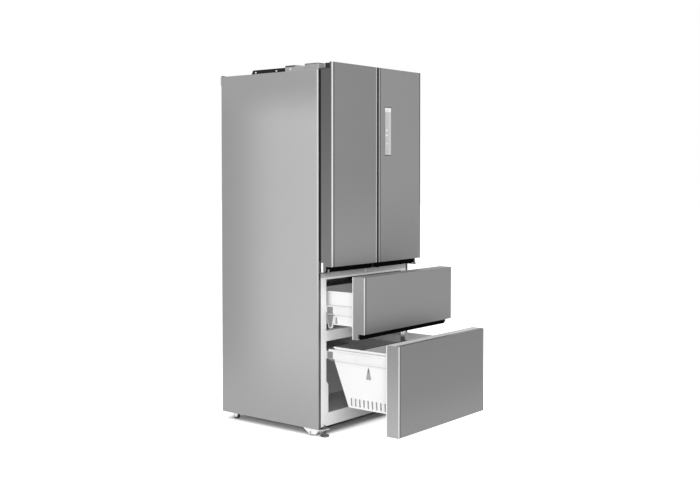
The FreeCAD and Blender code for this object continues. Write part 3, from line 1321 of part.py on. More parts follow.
def save_turning_pieces():
    """Writes the fan wheels, feet and rollers."""
    fan_start = DUCT_PANEL_Y + DUCT_WALL + MOTOR_DEPTH + MOTOR_GAP
    save("evaporator_fan", fan_wheel("y", (0, FAN_Z), fan_start))
    save("condenser_fan", fan_wheel("x", (ROOM_FAN_Y, ROOM_FAN_Z), ROOM_FAN_X + MOTOR_GAP))
    foot = levelling_foot()
    front = roller(FRONT_AXLE_Y, FRONT_AXLE_Z, FRONT_ROLLER)
    rear = roller(REAR_AXLE_Y, REAR_ROLLER, REAR_ROLLER)
    save("levelling_foot_left", foot)
    save("levelling_foot_right", mirrored(foot))
    save("front_roller_left", front)
    save("front_roller_right", mirrored(front))
    save("rear_roller_left", rear)
    save("rear_roller_right", mirrored(rear))


os.makedirs("parts", exist_ok=True)
save_cabinet()
save_doors()
save_drawers()
save_turning_pieces()
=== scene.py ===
"""Looks of a free-standing fridge-freezer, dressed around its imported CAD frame. Lengths are in metres."""

import logging
import math
from dataclasses import dataclass, replace
from enum import Enum, StrEnum

import bpy
import numpy as np
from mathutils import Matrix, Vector


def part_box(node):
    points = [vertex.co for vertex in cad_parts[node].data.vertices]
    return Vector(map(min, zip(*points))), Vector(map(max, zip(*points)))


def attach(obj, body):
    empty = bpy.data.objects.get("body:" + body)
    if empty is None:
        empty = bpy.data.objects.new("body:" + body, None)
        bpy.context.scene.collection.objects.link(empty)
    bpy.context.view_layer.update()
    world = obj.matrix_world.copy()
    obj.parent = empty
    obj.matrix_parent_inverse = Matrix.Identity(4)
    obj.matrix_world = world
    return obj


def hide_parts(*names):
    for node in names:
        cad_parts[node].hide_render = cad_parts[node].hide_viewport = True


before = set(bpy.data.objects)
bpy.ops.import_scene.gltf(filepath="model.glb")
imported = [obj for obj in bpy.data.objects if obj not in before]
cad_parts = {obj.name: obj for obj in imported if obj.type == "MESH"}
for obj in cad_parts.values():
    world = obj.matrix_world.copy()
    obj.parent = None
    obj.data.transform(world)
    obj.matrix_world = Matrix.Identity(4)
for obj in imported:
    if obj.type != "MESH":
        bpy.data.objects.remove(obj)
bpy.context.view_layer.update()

Colour = tuple[float, float, float]
Point = tuple[float, float, float]
Span = tuple[float, float]
log = logging.getLogger("fridge")

# Shared small values
SHARP_ANGLE = math.radians(35)
BEVEL_ANGLE = math.radians(40)
FLAT_ANGLE = math.radians(1)
WELD_DISTANCE = 1e-5
LEVEL_DIGITS = 5
RELIEF_DEPTH = 0.001
CORNER_STEPS = 6
SHEET_EDGE = 0.0008
TRIM_EDGE = 0.0006
ROUND_EDGE = 0.0015
NEAR_BLACK = 0.004
DARK_LINE = 0.012


class Axis(Enum):
    """One of the three axes, as the index of its coordinate."""

    X = 0
    Y = 1
    Z = 2


class Texture(Enum):
    """The surface patterns, each one shader group."""

    BRUSHED = "brushed_grain"
    PAINTED = "sprayed_paint"
    MOULDED = "moulded_plastic"
    RUBBER = "soft_rubber"
    SPANGLED = "zinc_spangle"
    CLEAR = "clear_smear"


class Side(StrEnum):
    """A side of the fridge or of one of its fronts, seen from the front."""

    LEFT = "left"
    RIGHT = "right"

    @property
    def outward(self) -> int:
        """The way out along X, -1 or 1."""
        return -1 if self is Side.LEFT else 1


class End(StrEnum):
    """The end of the cabinet that a roller carries."""

    FRONT = "front"
    REAR = "rear"


class Level(StrEnum):
    """Which of the two drawers a piece belongs to."""

    UPPER = "upper"
    LOWER = "lower"


# Shader groups


@dataclass(frozen=True)
class Grain:
    """Fine noise of one surface pattern.

    The share is how much of a wide cloud its tone has, or for zinc how much of the noise its relief has.
    """

    stretch: Point
    scale: float
    detail: float
    share: float


CLOUD_SCALE, CLOUD_DETAIL = 2.2, 2
CRYSTAL_SCALE = 0.25
GRAINS = {
    Texture.BRUSHED: Grain((0.012, 0.012, 1), 1, 3, 0.45),
    Texture.PAINTED: Grain((1, 1, 1), 1, 2, 0.8),
    Texture.MOULDED: Grain((1, 1, 1), 1, 4, 0.6),
    Texture.RUBBER: Grain((1, 1, 1), 0.4, 5, 0.5),
    Texture.SPANGLED: Grain((1, 1, 1), 2, 2, 0.6),
    Texture.CLEAR: Grain((1, 1, 0.3), 0.02, 3, 1.0),
}


class GroupBuilder:
    """Builds one shader group that turns a tone and a roughness into ones that vary over the surface."""

    def __init__(self, texture: Texture) -> None:
        """Starts the group with the sockets that every surface pattern has.

        Args:
            texture: the pattern that the group draws.
        """
        self.tree = bpy.data.node_groups.new(texture.value, "ShaderNodeTree")
        face = self.tree.interface
        for name, kind in (("Place", "NodeSocketVector"), ("Tone", "NodeSocketColor")):
            face.new_socket(name, in_out="INPUT", socket_type=kind)
        for name in ("Fineness", "Tone Spread", "Roughness", "Roughness Spread"):
            face.new_socket(name, in_out="INPUT", socket_type="NodeSocketFloat")
        face.new_socket("Tone", in_out="OUTPUT", socket_type="NodeSocketColor")
        for name in ("Roughness", "Height"):
            face.new_socket(name, in_out="OUTPUT", socket_type="NodeSocketFloat")
        self.inlet = self.tree.nodes.new("NodeGroupInput")
        self.outlet = self.tree.nodes.new("NodeGroupOutput")

    def node(self, kind: str, **settings: object) -> bpy.types.Node:
        """Adds a node and sets its properties.

        Args:
            kind: the node's type.
            settings: its properties by name.

        Returns:
            The new node.
        """
        made = self.tree.nodes.new(kind)
        for name, value in settings.items():
            setattr(made, name, value)
        return made

    def link(self, source: bpy.types.NodeSocket, target: bpy.types.NodeSocket) -> None:
        """Joins two sockets."""
        self.tree.links.new(source, target)

    def stretched(self, stretch: Point) -> bpy.types.NodeSocket:
        """The place multiplied by the fineness and by a stretch along each axis.

        Args:
            stretch: factor along X, Y and Z.

        Returns:
            The socket with the stretched place.
        """
        scaled = self.node("ShaderNodeVectorMath", operation="SCALE")
        self.link(self.inlet.outputs["Place"], scaled.inputs[0])
        self.link(self.inlet.outputs["Fineness"], scaled.inputs["Scale"])
        product = self.node("ShaderNodeVectorMath", operation="MULTIPLY")
        self.link(scaled.outputs[0], product.inputs[0])
        product.inputs[1].default_value = stretch
        return product.outputs[0]

    def noise(self, place: bpy.types.NodeSocket, scale: float, detail: float) -> bpy.types.NodeSocket:
        """Noise from 0 to 1 at a place.

        Args:
            place: socket with the place.
            scale: how fine it is.
            detail: how many finer layers it has.

        Returns:
            The noise's socket.
        """
        made = self.node("ShaderNodeTexNoise")
        made.inputs["Scale"].default_value = scale
        made.inputs["Detail"].default_value = detail
        self.link(place, made.inputs["Vector"])
        return made.outputs["Fac"]

    def cells(self, place: bpy.types.NodeSocket, scale: float) -> bpy.types.NodeSocket:
        """A steady random value from 0 to 1 in each cell.

        Args:
            place: socket with the place.
            scale: how fine the cells are.

        Returns:
            The value's socket.
        """
        made = self.node("ShaderNodeTexVoronoi", feature="F1")
        made.inputs["Scale"].default_value = scale
        self.link(place, made.inputs["Vector"])
        split = self.node("ShaderNodeSeparateColor")
        self.link(made.outputs["Color"], split.inputs[0])
        return split.outputs[0]

    def sum_of(self, first: bpy.types.NodeSocket, second: bpy.types.NodeSocket,
               share: float) -> bpy.types.NodeSocket:
        """A mix of two values.

        Args:
            first: socket with one value.
            second: socket with the other.
            share: the second's share.

        Returns:
            The mix's socket.
        """
        made = self.node("ShaderNodeMix", data_type="FLOAT")
        made.inputs[0].default_value = share
        self.link(first, made.inputs[2])
        self.link(second, made.inputs[3])
        return made.outputs[0]

    def swing(self, mask: bpy.types.NodeSocket, spread: str) -> bpy.types.NodeSocket:
        """One plus a mask's distance from its middle, times the named spread.

        Args:
            mask: a value about one half.
            spread: the input socket with the strength.

        Returns:
            A factor about one.
        """
        centred = self.node("ShaderNodeMath", operation="SUBTRACT")
        self.link(mask, centred.inputs[0])
        centred.inputs[1].default_value = 0.5
        factor = self.node("ShaderNodeMath", operation="MULTIPLY_ADD")
        self.link(centred.outputs[0], factor.inputs[0])
        self.link(self.inlet.outputs[spread], factor.inputs[1])
        factor.inputs[2].default_value = 1.0
        return factor.outputs[0]

    def finish(self, tone_mask: bpy.types.NodeSocket, height: bpy.types.NodeSocket) -> bpy.types.NodeTree:
        """Joins the pattern to the group's outlets.

        Args:
            tone_mask: value about one half that makes the tone and roughness vary.
            height: value that the material's bump reads.

        Returns:
            The finished group.
        """
        tone = self.node("ShaderNodeVectorMath", operation="SCALE")
        self.link(self.inlet.outputs["Tone"], tone.inputs[0])
        self.link(self.swing(tone_mask, "Tone Spread"), tone.inputs["Scale"])
        self.link(tone.outputs[0], self.outlet.inputs["Tone"])
        rough = self.node("ShaderNodeMath", operation="MULTIPLY", use_clamp=True)
        self.link(self.inlet.outputs["Roughness"], rough.inputs[0])
        self.link(self.swing(height, "Roughness Spread"), rough.inputs[1])
        self.link(rough.outputs[0], self.outlet.inputs["Roughness"])
        self.link(height, self.outlet.inputs["Height"])
        return self.tree


def surface_group(texture: Texture) -> bpy.types.NodeTree:
    """The shader group of a surface pattern, made at its first use.

    Brushed grain is noise drawn out along X and Y; paint is a fine ripple over a wide cloud; plastic is a
    fine spark; rubber a coarser one with bloom; zinc has one tone for each crystal; clear pieces have faint
    smears.

    Args:
        texture: the pattern.

    Returns:
        The node group.
    """
    found = bpy.data.node_groups.get(texture.value)
    if found:
        return found
    build, grain = GroupBuilder(texture), GRAINS[texture]
    drawn_out = build.stretched(grain.stretch)
    fine = build.noise(drawn_out, grain.scale, grain.detail)
    if texture is Texture.SPANGLED:
        crystals = build.cells(drawn_out, CRYSTAL_SCALE)
        return build.finish(crystals, build.sum_of(crystals, fine, grain.share))
    cloud = build.noise(build.inlet.outputs["Place"], CLOUD_SCALE, CLOUD_DETAIL)
    return build.finish(build.sum_of(fine, cloud, grain.share), fine)


def zone_group() -> bpy.types.NodeTree:
    """The shader group that multiplies a mask by one rising smoothly between two places along a direction.

    Returns:
        The node group, made at its first use.
    """
    found = bpy.data.node_groups.get("tone_zone")
    if found:
        return found
    tree = bpy.data.node_groups.new("tone_zone", "ShaderNodeTree")
    for name, kind in (("Place", "Vector"), ("Direction", "Vector"), ("Start", "Float"), ("End", "Float"),
                       ("Mask", "Float")):
        tree.interface.new_socket(name, in_out="INPUT", socket_type=f"NodeSocket{kind}")
    tree.interface.new_socket("Mask", in_out="OUTPUT", socket_type="NodeSocketFloat")
    inlet = tree.nodes.new("NodeGroupInput")
    outlet = tree.nodes.new("NodeGroupOutput")
    along = tree.nodes.new("ShaderNodeVectorMath")
    along.operation = "DOT_PRODUCT"
    span = tree.nodes.new("ShaderNodeMapRange")
    span.interpolation_type = "SMOOTHSTEP"
    product = tree.nodes.new("ShaderNodeMath")
    product.operation = "MULTIPLY"
    for source, target in ((inlet.outputs["Place"], along.inputs[0]),
                           (inlet.outputs["Direction"], along.inputs[1]),
                           (along.outputs["Value"], span.inputs["Value"]),
                           (inlet.outputs["Start"], span.inputs["From Min"]),
                           (inlet.outputs["End"], span.inputs["From Max"]),
                           (span.outputs["Result"], product.inputs[0]),
                           (inlet.outputs["Mask"], product.inputs[1]),
                           (product.outputs[0], outlet.inputs["Mask"])):
        tree.links.new(source, target)
    return tree


# Finishes


def grey(level: float) -> Colour:
    """A neutral tone."""
    return (level, level, level)


@dataclass(frozen=True)
class Zone:
    """A share that rises from 0 to 1 from a start to an end along one axis."""

    axis: Axis
    start: float
    end: float


@dataclass(frozen=True)
class Ramp:
    """A second tone that takes over where all its zones reach 1."""

    tone: Colour
    zones: tuple[Zone, ...]


def near(axis: Axis, place: float, start: float, end: float) -> Zone:
    """The zone between two signed distances from a place."""
    return Zone(axis, place + start, place + end)


def shade(level: float, *zones: Zone) -> Ramp:
    """A grey that takes over where all the zones reach 1."""
    return Ramp(grey(level), zones)


@dataclass(frozen=True)
class Finish:
    """One surface finish and the material that it becomes."""

    name: str
    slot: str
    tone: Colour
    roughness: float
    texture: Texture
    metallic: float = 0.0
    fineness: float = 300.0
    tone_spread: float = 0.06
    roughness_spread: float = 0.2
    bump: float = 0.02
    coat: float = 0.0
    specular: float = 0.5
    transmission: float = 0.0
    glow: float = 0.0
    ramps: tuple[Ramp, ...] = ()

    def material(self) -> bpy.types.Material:
        """The finish as a material.

        Returns:
            The material, made at its first use.
        """
        title = f"{self.name}_finish"
        found = bpy.data.materials.get(title)
        if found:
            return found
        made = bpy.data.materials.new(title)
        made.use_nodes = True
        tree = made.node_tree
        shader = tree.nodes["Principled BSDF"]
        shader.inputs["Metallic"].default_value = self.metallic
        shader.inputs["Coat Weight"].default_value = self.coat
        shader.inputs["Specular IOR Level"].default_value = self.specular
        shader.inputs["Transmission Weight"].default_value = self.transmission
        if self.glow:
            shader.inputs["Emission Color"].default_value = (*self.tone, 1)
            shader.inputs["Emission Strength"].default_value = self.glow
        place = tree.nodes.new("ShaderNodeTexCoord").outputs["Object"]
        pattern = tree.nodes.new("ShaderNodeGroup")
        pattern.node_tree = surface_group(self.texture)
        tree.links.new(place, pattern.inputs["Place"])
        pattern.inputs["Tone"].default_value = (*self.tone, 1)
        pattern.inputs["Fineness"].default_value = self.fineness
        pattern.inputs["Tone Spread"].default_value = self.tone_spread
        pattern.inputs["Roughness"].default_value = self.roughness
        pattern.inputs["Roughness Spread"].default_value = self.roughness_spread
        for ramp in self.ramps:
            self.add_ramp(tree, place, pattern, ramp)
        tree.links.new(pattern.outputs["Tone"], shader.inputs["Base Color"])
        tree.links.new(pattern.outputs["Roughness"], shader.inputs["Roughness"])
        relief = tree.nodes.new("ShaderNodeBump")
        relief.inputs["Strength"].default_value = self.bump
        relief.inputs["Distance"].default_value = RELIEF_DEPTH
        tree.links.new(pattern.outputs["Height"], relief.inputs["Height"])
        tree.links.new(relief.outputs["Normal"], shader.inputs["Normal"])
        return made

    def shaded(self, name: str, level: float, *ramps: Ramp, **changes: float) -> "Finish":
        """This finish in another grey, with a name and ramps of its own."""
        return replace(self, name=name, tone=grey(level), ramps=ramps, **changes)

    @staticmethod
    def add_ramp(tree: bpy.types.NodeTree, place: bpy.types.NodeSocket, pattern: bpy.types.Node,
                 ramp: Ramp) -> None:
        """Puts a ramp's tone over what the pattern's tone has so far.

        Args:
            tree: the material's node tree.
            place: the socket with the place on the piece.
            pattern: the surface pattern's node.
            ramp: the second tone and where it takes over.
        """
        mix = tree.nodes.new("ShaderNodeMix")
        mix.data_type = "RGBA"
        mix.inputs[0].default_value = 1.0
        for zone in ramp.zones:
            mask = tree.nodes.new("ShaderNodeGroup")
            mask.node_tree = zone_group()
            tree.links.new(place, mask.inputs["Place"])
            mask.inputs["Direction"].default_value = tuple(float(k == zone.axis.value) for k in range(3))
            mask.inputs["Start"].default_value = zone.start
            mask.inputs["End"].default_value = zone.end
            mask.inputs["Mask"].default_value = 1.0
            if mix.inputs[0].is_linked:
                tree.links.new(mix.inputs[0].links[0].from_socket, mask.inputs["Mask"])
            tree.links.new(mask.outputs["Mask"], mix.inputs[0])
        before = pattern.inputs["Tone"]
        mix.inputs[6].default_value = before.default_value
        if before.is_linked:
            tree.links.new(before.links[0].from_socket, mix.inputs[6])
        mix.inputs[7].default_value = (*ramp.tone, 1)
        tree.links.new(mix.outputs[2], before)


STEEL = Finish("brushed_steel", "stainless", grey(0.20), 0.42, Texture.BRUSHED, metallic=0.7, fineness=900,
               tone_spread=0.08, roughness_spread=0.25, bump=0.03)


@dataclass(frozen=True)
class FrontSteel:
    """Brushed steel of one front, with painted light and shade on it: a painted reflection that changes the
    face's tone towards its foot, sides in painted shade and light of their own, a painted highlight along the
    left bend with a painted shade line beside it, and a painted highlight and shade line near the right edge.
    Where asked for, the sides' rear edge gets a painted tone of its own: light on the drawers, shade on the
    left door.

    The side at which two doors meet has painted shade that is black only near the face, and plain steel
    behind. Its hinge side has a white stop plate near the rear foot. A span holds two signed distances from
    an edge, between which a tone takes over.
    """

    name: str
    node: str
    face: float
    # Painted reflection: the face's tone at its foot, reached from its middle down.
    face_low: float
    # Painted shade and light on the left side, at its foot and at its top.
    side: float
    side_high: float
    # Painted tone along the side's rear edge, where above zero.
    rear_edge: float = 0.0
    # Painted highlights on the left bend and near the right edge, and painted shade lines beside them.
    bright: float = 0.62
    right_highlight: float = 0.24
    right_shade_line: float = 0.075
    line: float = 0.10
    bend: float = 0.0070
    # Painted shade on the meeting side near the face.
    gap_shade: float = 0.15
    meeting_edge: Side | None = None
    mark_tone: float = 0.9
    mark_heights: Span = (0.757, 0.806)
    mark_blur: float = 0.001
    mark_rear: Span = (-0.0048, -0.0055)
    mark_front: Span = (-0.0165, -0.0155)
    # Where the painted light and shade lie.
    side_span: Span = (0.0022, 0.0008)
    right_highlight_span: Span = (-0.0160, -0.0150)
    right_shade_line_span: Span = (-0.0110, -0.0100)
    bend_shade_span: Span = (0.0110, 0.0090)
    bend_highlight_span: Span = (0.0005, -0.0005)
    rear_edge_span: Span = (-0.005, -0.003)
    gap_shade_span: Span = (0.013, 0.015)

    def finish(self) -> Finish:
        """The steel with its painted light and shade placed by the node's box: down the face, at each bend,
        up the left side.

        Returns:
            The finish of the front's skin.
        """
        low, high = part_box(self.node)
        bend = low.x + self.bend
        side = near(Axis.X, low.x, *self.side_span)
        # Painted reflection down the face, painted highlights and shade lines at the bends, and painted shade
        # and light on the side.
        ramps = [
            shade(self.face_low, Zone(Axis.Z, (low.z + high.z) / 2, low.z)),
            shade(self.right_highlight, near(Axis.X, high.x, *self.right_highlight_span)),
            shade(self.right_shade_line, near(Axis.X, high.x, *self.right_shade_line_span)),
            shade(self.line, near(Axis.X, bend, *self.bend_shade_span)),
            shade(self.bright, near(Axis.X, bend, *self.bend_highlight_span)),
            shade(self.side, side),
            shade(self.side_high, side, Zone(Axis.Z, low.z, high.z)),
        ]
        if self.rear_edge > 0:
            ramps.append(shade(self.rear_edge, side, near(Axis.Y, high.y, *self.rear_edge_span)))
        if self.meeting_edge is not None:
            start, end = self.side_span
            edges = (side, near(Axis.X, high.x, -start, -end))
            meeting, hinge = edges if self.meeting_edge is Side.LEFT else edges[::-1]
            foot, top = self.mark_heights
            ramps.append(shade(self.gap_shade, meeting, near(Axis.Y, low.y, *self.gap_shade_span)))
            ramps.append(shade(self.mark_tone, hinge, near(Axis.Y, high.y, *self.mark_front),
                               near(Axis.Y, high.y, *self.mark_rear), near(Axis.Z, foot, 0, self.mark_blur),
                               near(Axis.Z, top, 0, -self.mark_blur)))
        return STEEL.shaded(self.name, self.face, *ramps)


SIDE_PAINT = Finish("grey_side_paint", "side_paint", grey(0.40), 0.45, Texture.PAINTED, metallic=0.15,
                    fineness=420, tone_spread=0.03, bump=0.015)
ZINC = Finish("zinc_coated_sheet", "zinc_steel", grey(0.52), 0.40, Texture.SPANGLED, metallic=0.85,
              fineness=500, tone_spread=0.12, bump=0.01)
WHITE_ENAMEL = Finish("white_enamel", "white_steel", grey(0.70), 0.35, Texture.PAINTED, fineness=420,
                      tone_spread=0.02, bump=0.01)
FOAM = Finish("insulating_foam", "insulating_foam", (0.78, 0.68, 0.45), 0.9, Texture.SPANGLED, fineness=1500,
              tone_spread=0.15, bump=0.2)
LINER_WHITE = Finish("liner_white", "white_liner", grey(0.80), 0.35, Texture.MOULDED, fineness=700,
                     tone_spread=0.02, bump=0.01)
BIN_WHITE = Finish("bin_white", "white_liner", grey(0.84), 0.38, Texture.MOULDED, fineness=700,
                   tone_spread=0.02, bump=0.01)
SHELF_GLASS = Finish("shelf_glass", "shelf_glass", (0.86, 0.95, 0.92), 0.03, Texture.CLEAR, tone_spread=0.02,
                     bump=0.0, transmission=0.92)
CLEAR_PLASTIC = Finish("clear_plastic", "clear_plastic", (0.92, 0.95, 0.96), 0.12, Texture.CLEAR,
                       tone_spread=0.02, bump=0.01, transmission=0.85)
FIN_METAL = Finish("fin_aluminium", "fin_aluminium", grey(0.65), 0.35, Texture.BRUSHED, metallic=0.9,
                   fineness=700, bump=0.02)
TAB_GREY = Finish("corner_tab_grey", "grey_plastic", grey(0.03), 0.6, Texture.MOULDED, fineness=900,
                  bump=0.03, specular=0.15)
BLACK_ENAMEL = Finish("black_enamel", "black_enamel", grey(0.012), 0.22, Texture.PAINTED, fineness=300,
                      bump=0.03, coat=0.4)
DARK_PLASTIC = Finish("dark_cover_plastic", "dark_plastic", grey(0.012), 0.7, Texture.MOULDED, fineness=900,
                      bump=0.05, specular=0.1)
MID_PLASTIC = Finish("mid_grey_plastic", "grey_plastic", grey(0.16), 0.5, Texture.MOULDED, fineness=800,
                     bump=0.04)
PALE_PLASTIC = Finish("pale_grey_plastic", "white_liner", grey(0.52), 0.45, Texture.MOULDED, fineness=800,
                      bump=0.03)
GRIP_BLACK = Finish("grip_black", "grip_black", grey(0.005), 0.9, Texture.MOULDED, fineness=900, bump=0.05,
                    specular=0.0)
GASKET = Finish("gasket_rubber", "gasket_rubber", grey(0.012), 0.8, Texture.RUBBER, fineness=500, bump=0.05)
FIELD_WHITE = Finish("touch_field_white", "display_glass", grey(0.90), 0.4, Texture.PAINTED, fineness=900)
MARKS = Finish("display_marks", "display_glass", grey(0.03), 0.6, Texture.PAINTED, fineness=900)
CATCH_GREY = Finish("slide_catch_grey", "grey_plastic", grey(0.20), 0.5, Texture.MOULDED, fineness=800,
                    bump=0.04)
BRIGHT_ZINC = Finish("bright_zinc_sheet", "zinc_steel", grey(0.74), 0.38, Texture.SPANGLED, metallic=0.35,
                     fineness=500, tone_spread=0.08, bump=0.01)
DUCT_GREY = Finish("duct_grey", "dark_plastic", grey(0.32), 0.45, Texture.MOULDED, fineness=800, bump=0.03)
# Painted shade: a near-black copy of the roller nylon for the rear wheels, deep under the cabinet.
SHADED_NYLON = Finish("shaded_roller_nylon", "roller_nylon", grey(0.02), 0.6, Texture.MOULDED, fineness=700,
                    bump=0.04)
FOOT_GREY = Finish("foot_plastic", "foot_plastic", grey(0.12), 0.6, Texture.MOULDED, fineness=700, bump=0.05)
NYLON = Finish("roller_nylon", "roller_nylon", (0.75, 0.75, 0.70), 0.5, Texture.MOULDED, fineness=700,
               bump=0.04)
SCREW = Finish("screw_steel", "zinc_steel", grey(0.60), 0.28, Texture.BRUSHED, metallic=1.0, fineness=1200)
LAMP_LENS = Finish("lamp_lens", "clear_plastic", grey(0.95), 0.35, Texture.MOULDED, fineness=300, glow=0.6)


# Meshes


class Shell:
    """Points and faces of one piece, gathered surface by surface."""

    def __init__(self) -> None:
        """Starts empty."""
        self.points: list[np.ndarray] = []
        self.faces: list[np.ndarray] = []
        self.count = 0

    def add(self, points: np.ndarray, faces: list[np.ndarray], closed: bool = True) -> None:
        """Adds one surface, turned outwards if it is closed.

        The volume of a closed surface is the sum of corner triple products over a fan of each face; where it
        is below zero the faces point inwards and their order is reversed.

        Args:
            points: n by 3 places.
            faces: arrays of point indices, one array for each number of corners.
            closed: whether the surface encloses a volume.
        """
        if closed:
            volume = 0.0
            for group in faces:
                first = points[group[:, 0]]
                for k in range(1, group.shape[1] - 1):
                    second, third = points[group[:, k]], points[group[:, k + 1]]
                    volume += float(np.einsum("ij,ij->", first, np.cross(second, third)))
            if volume < 0:
                faces = [group[:, ::-1] for group in faces]
        self.points.append(points)
        self.faces += [group + self.count for group in faces]
        self.count += len(points)

    def add_tube(self, grid: np.ndarray, ring: bool = False) -> None:
        """Adds a grid whose columns close on themselves, with flat ends, or as a ring with no ends.

        Args:
            grid: rows by columns by 3 places; a row is one closed outline.
            ring: whether the last row joins the first.
        """
        rows, columns, _ = grid.shape
        index = np.arange(rows * columns).reshape(rows, columns)
        after = np.roll(index, -1, axis=1)
        low, high = (index, np.roll(index, -1, axis=0)) if ring else (index[:-1], index[1:])
        low_after, high_after = (after, np.roll(after, -1, axis=0)) if ring else (after[:-1], after[1:])
        quads = np.stack([low, low_after, high_after, high], axis=-1).reshape(-1, 4)
        faces = [quads] if ring else [quads, index[:1, ::-1], index[-1:]]
        self.add(grid.reshape(-1, 3), faces)

    def add_sheet(self, grid: np.ndarray) -> None:
        """Adds an open grid of places, to be given its thickness by a modifier.

        Args:
            grid: rows by columns by 3 places.
        """
        rows, columns, _ = grid.shape
        index = np.arange(rows * columns).reshape(rows, columns)
        quads = np.stack([index[:-1, :-1], index[:-1, 1:], index[1:, 1:], index[1:, :-1]], axis=-1)
        self.add(grid.reshape(-1, 3), [quads.reshape(-1, 4)], closed=False)

    def object(self, name: str) -> bpy.types.Object:
        """The gathered surfaces as one object at the origin, smooth but for its sharp edges.

        Args:
            name: the object's name.

        Returns:
            The new object, in the scene.
        """
        mesh = bpy.data.meshes.new(name)
        points = np.concatenate(self.points).astype(np.float32)
        corners = np.concatenate([group.ravel() for group in self.faces]).astype(np.int32)
        sizes = np.concatenate([np.full(len(group), group.shape[1], np.int32) for group in self.faces])
        mesh.vertices.add(len(points))
        mesh.vertices.foreach_set("co", points.ravel())
        mesh.loops.add(len(corners))
        mesh.loops.foreach_set("vertex_index", corners)
        mesh.polygons.add(len(sizes))
        mesh.polygons.foreach_set("loop_start", np.concatenate([[0], np.cumsum(sizes)[:-1]]).astype(np.int32))
        mesh.polygons.foreach_set("use_smooth", np.ones(len(sizes), bool))
        mesh.update(calc_edges=True)
        mesh.validate()
        mesh.set_sharp_from_angle(angle=SHARP_ANGLE)
        made = bpy.data.objects.new(name, mesh)
        bpy.context.scene.collection.objects.link(made)
        return made


def turned(axis: Axis, across: np.ndarray, up: np.ndarray, along: np.ndarray) -> np.ndarray:
    """Places from two cross coordinates and one along an axis.

    Args:
        axis: the axis that `along` runs on.
        across: first other coordinate in X, Y, Z order.
        up: second other coordinate.
        along: coordinate on the axis.

    Returns:
        An array with one more dimension, of size 3.
    """
    across, up, along = np.broadcast_arrays(across, up, along)
    parts = [across, up]
    parts.insert(axis.value, along)
    return np.stack(parts, axis=-1)


def rounded_outline(x: Span, y: Span, radius: float) -> np.ndarray:
    """Rectangle with round corners: a quarter circle about each corner's centre, in turn.

    Args:
        x: low and high side across.
        y: low and high side up.
        radius: corner radius.

    Returns:
        Places in the plane, n by 2.
    """
    quarter = np.linspace(0, math.pi / 2, CORNER_STEPS + 1)
    starts = np.arange(4) * math.pi / 2
    angle = (starts[:, None] + quarter[None, :]).ravel()
    centre_x = np.repeat([x[1] - radius, x[0] + radius, x[0] + radius, x[1] - radius], len(quarter))
    centre_y = np.repeat([y[1] - radius, y[1] - radius, y[0] + radius, y[0] + radius], len(quarter))
    return np.stack([centre_x + radius * np.cos(angle), centre_y + radius * np.sin(angle)], axis=1)


def bar(axis: Axis, outline: np.ndarray, span: Span) -> np.ndarray:
    """A closed outline carried straight along an axis.

    Args:
        axis: the direction.
        outline: places across it, n by 2.
        span: start and end.

    Returns:
        A grid of two rows for Shell.add_tube.
    """
    ends = np.array(span)[:, None]
    return turned(axis, outline[None, :, 0], outline[None, :, 1], ends)


def pillow(x: Span, y: Span, z: Span, corner: float, edge: float, slope: float = 0.0) -> np.ndarray:
    """A slab with round upright corners and a round upper edge, drawn in by a slope from foot to top.

    Row by row the outline shrinks: first by the slope, then along a quarter circle of the edge radius.

    Args:
        x: low and high side across.
        y: low and high side in depth.
        z: foot and top.
        corner: radius of the upright corners.
        edge: radius of the upper edge.
        slope: how far the top is drawn in.

    Returns:
        A grid for Shell.add_tube.
    """
    turn = np.linspace(0, math.pi / 2, CORNER_STEPS + 1)
    inset = np.concatenate([[0], slope + edge * (1 - np.cos(turn))])
    height = np.concatenate([[z[0]], z[1] - edge + edge * np.sin(turn)])
    rows = []
    for drawn, level in zip(inset, height):
        radius = max(corner - drawn + slope, edge / 4)
        outline = rounded_outline((x[0] + drawn, x[1] - drawn), (y[0] + drawn, y[1] - drawn), radius)
        rows.append(turned(Axis.Z, outline[:, 0], outline[:, 1], np.full(len(outline), level)))
    return np.stack(rows)


def lathe(axis: Axis, centre: Span, radii: np.ndarray, places: np.ndarray, segments: int = 48,
          ripple: tuple[float, int] = (0.0, 0)) -> np.ndarray:
    """A profile turned about an axis, its radius rippled by a share of itself a number of times a turn.

    Args:
        axis: the axis that it turns about.
        centre: the axis's place across.
        radii: radius at each row.
        places: place along the axis at each row.
        segments: columns in a turn.
        ripple: share of the radius and waves in a turn.

    Returns:
        A grid for Shell.add_tube.
    """
    angle = np.linspace(0, 2 * math.pi, segments, endpoint=False)[None, :]
    radius = radii[:, None] * (1 + ripple[0] * np.cos(ripple[1] * angle))
    across = centre[0] + radius * np.cos(angle)
    up = centre[1] + radius * np.sin(angle)
    return turned(axis, across, up, places[:, None])


def frame_sweep(x: Span, z: Span, inset: np.ndarray, depth: np.ndarray) -> np.ndarray:
    """A closed profile carried round an upright rectangle with mitred corners.

    Args:
        x: outer sides.
        z: outer foot and top.
        inset: distance of each profile point in from the outer sides.
        depth: place of each profile point along Y.

    Returns:
        A grid for Shell.add_tube as a ring, its rows being the four corners.
    """
    across = np.stack([x[0] + inset, x[1] - inset, x[1] - inset, x[0] + inset])
    up = np.stack([z[0] + inset, z[0] + inset, z[1] - inset, z[1] - inset])
    return turned(Axis.Y, across, up, np.broadcast_to(depth, across.shape))


def node_levels(node: str, axis: Axis) -> np.ndarray:
    """The separate places along an axis at which a CAD node has points.

    Args:
        node: the node's name.
        axis: the axis.

    Returns:
        The places in rising order.
    """
    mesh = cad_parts[node].data
    places = np.zeros(len(mesh.vertices) * 3, np.float32)
    mesh.vertices.foreach_get("co", places)
    return np.unique(np.round(places.reshape(-1, 3)[:, axis.value].astype(float), LEVEL_DIGITS))


def cabinet_front() -> float:
    """Place of the cabinet's front edge along Y."""
    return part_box("side_panel_left")[0].y


# Sub-assemblies


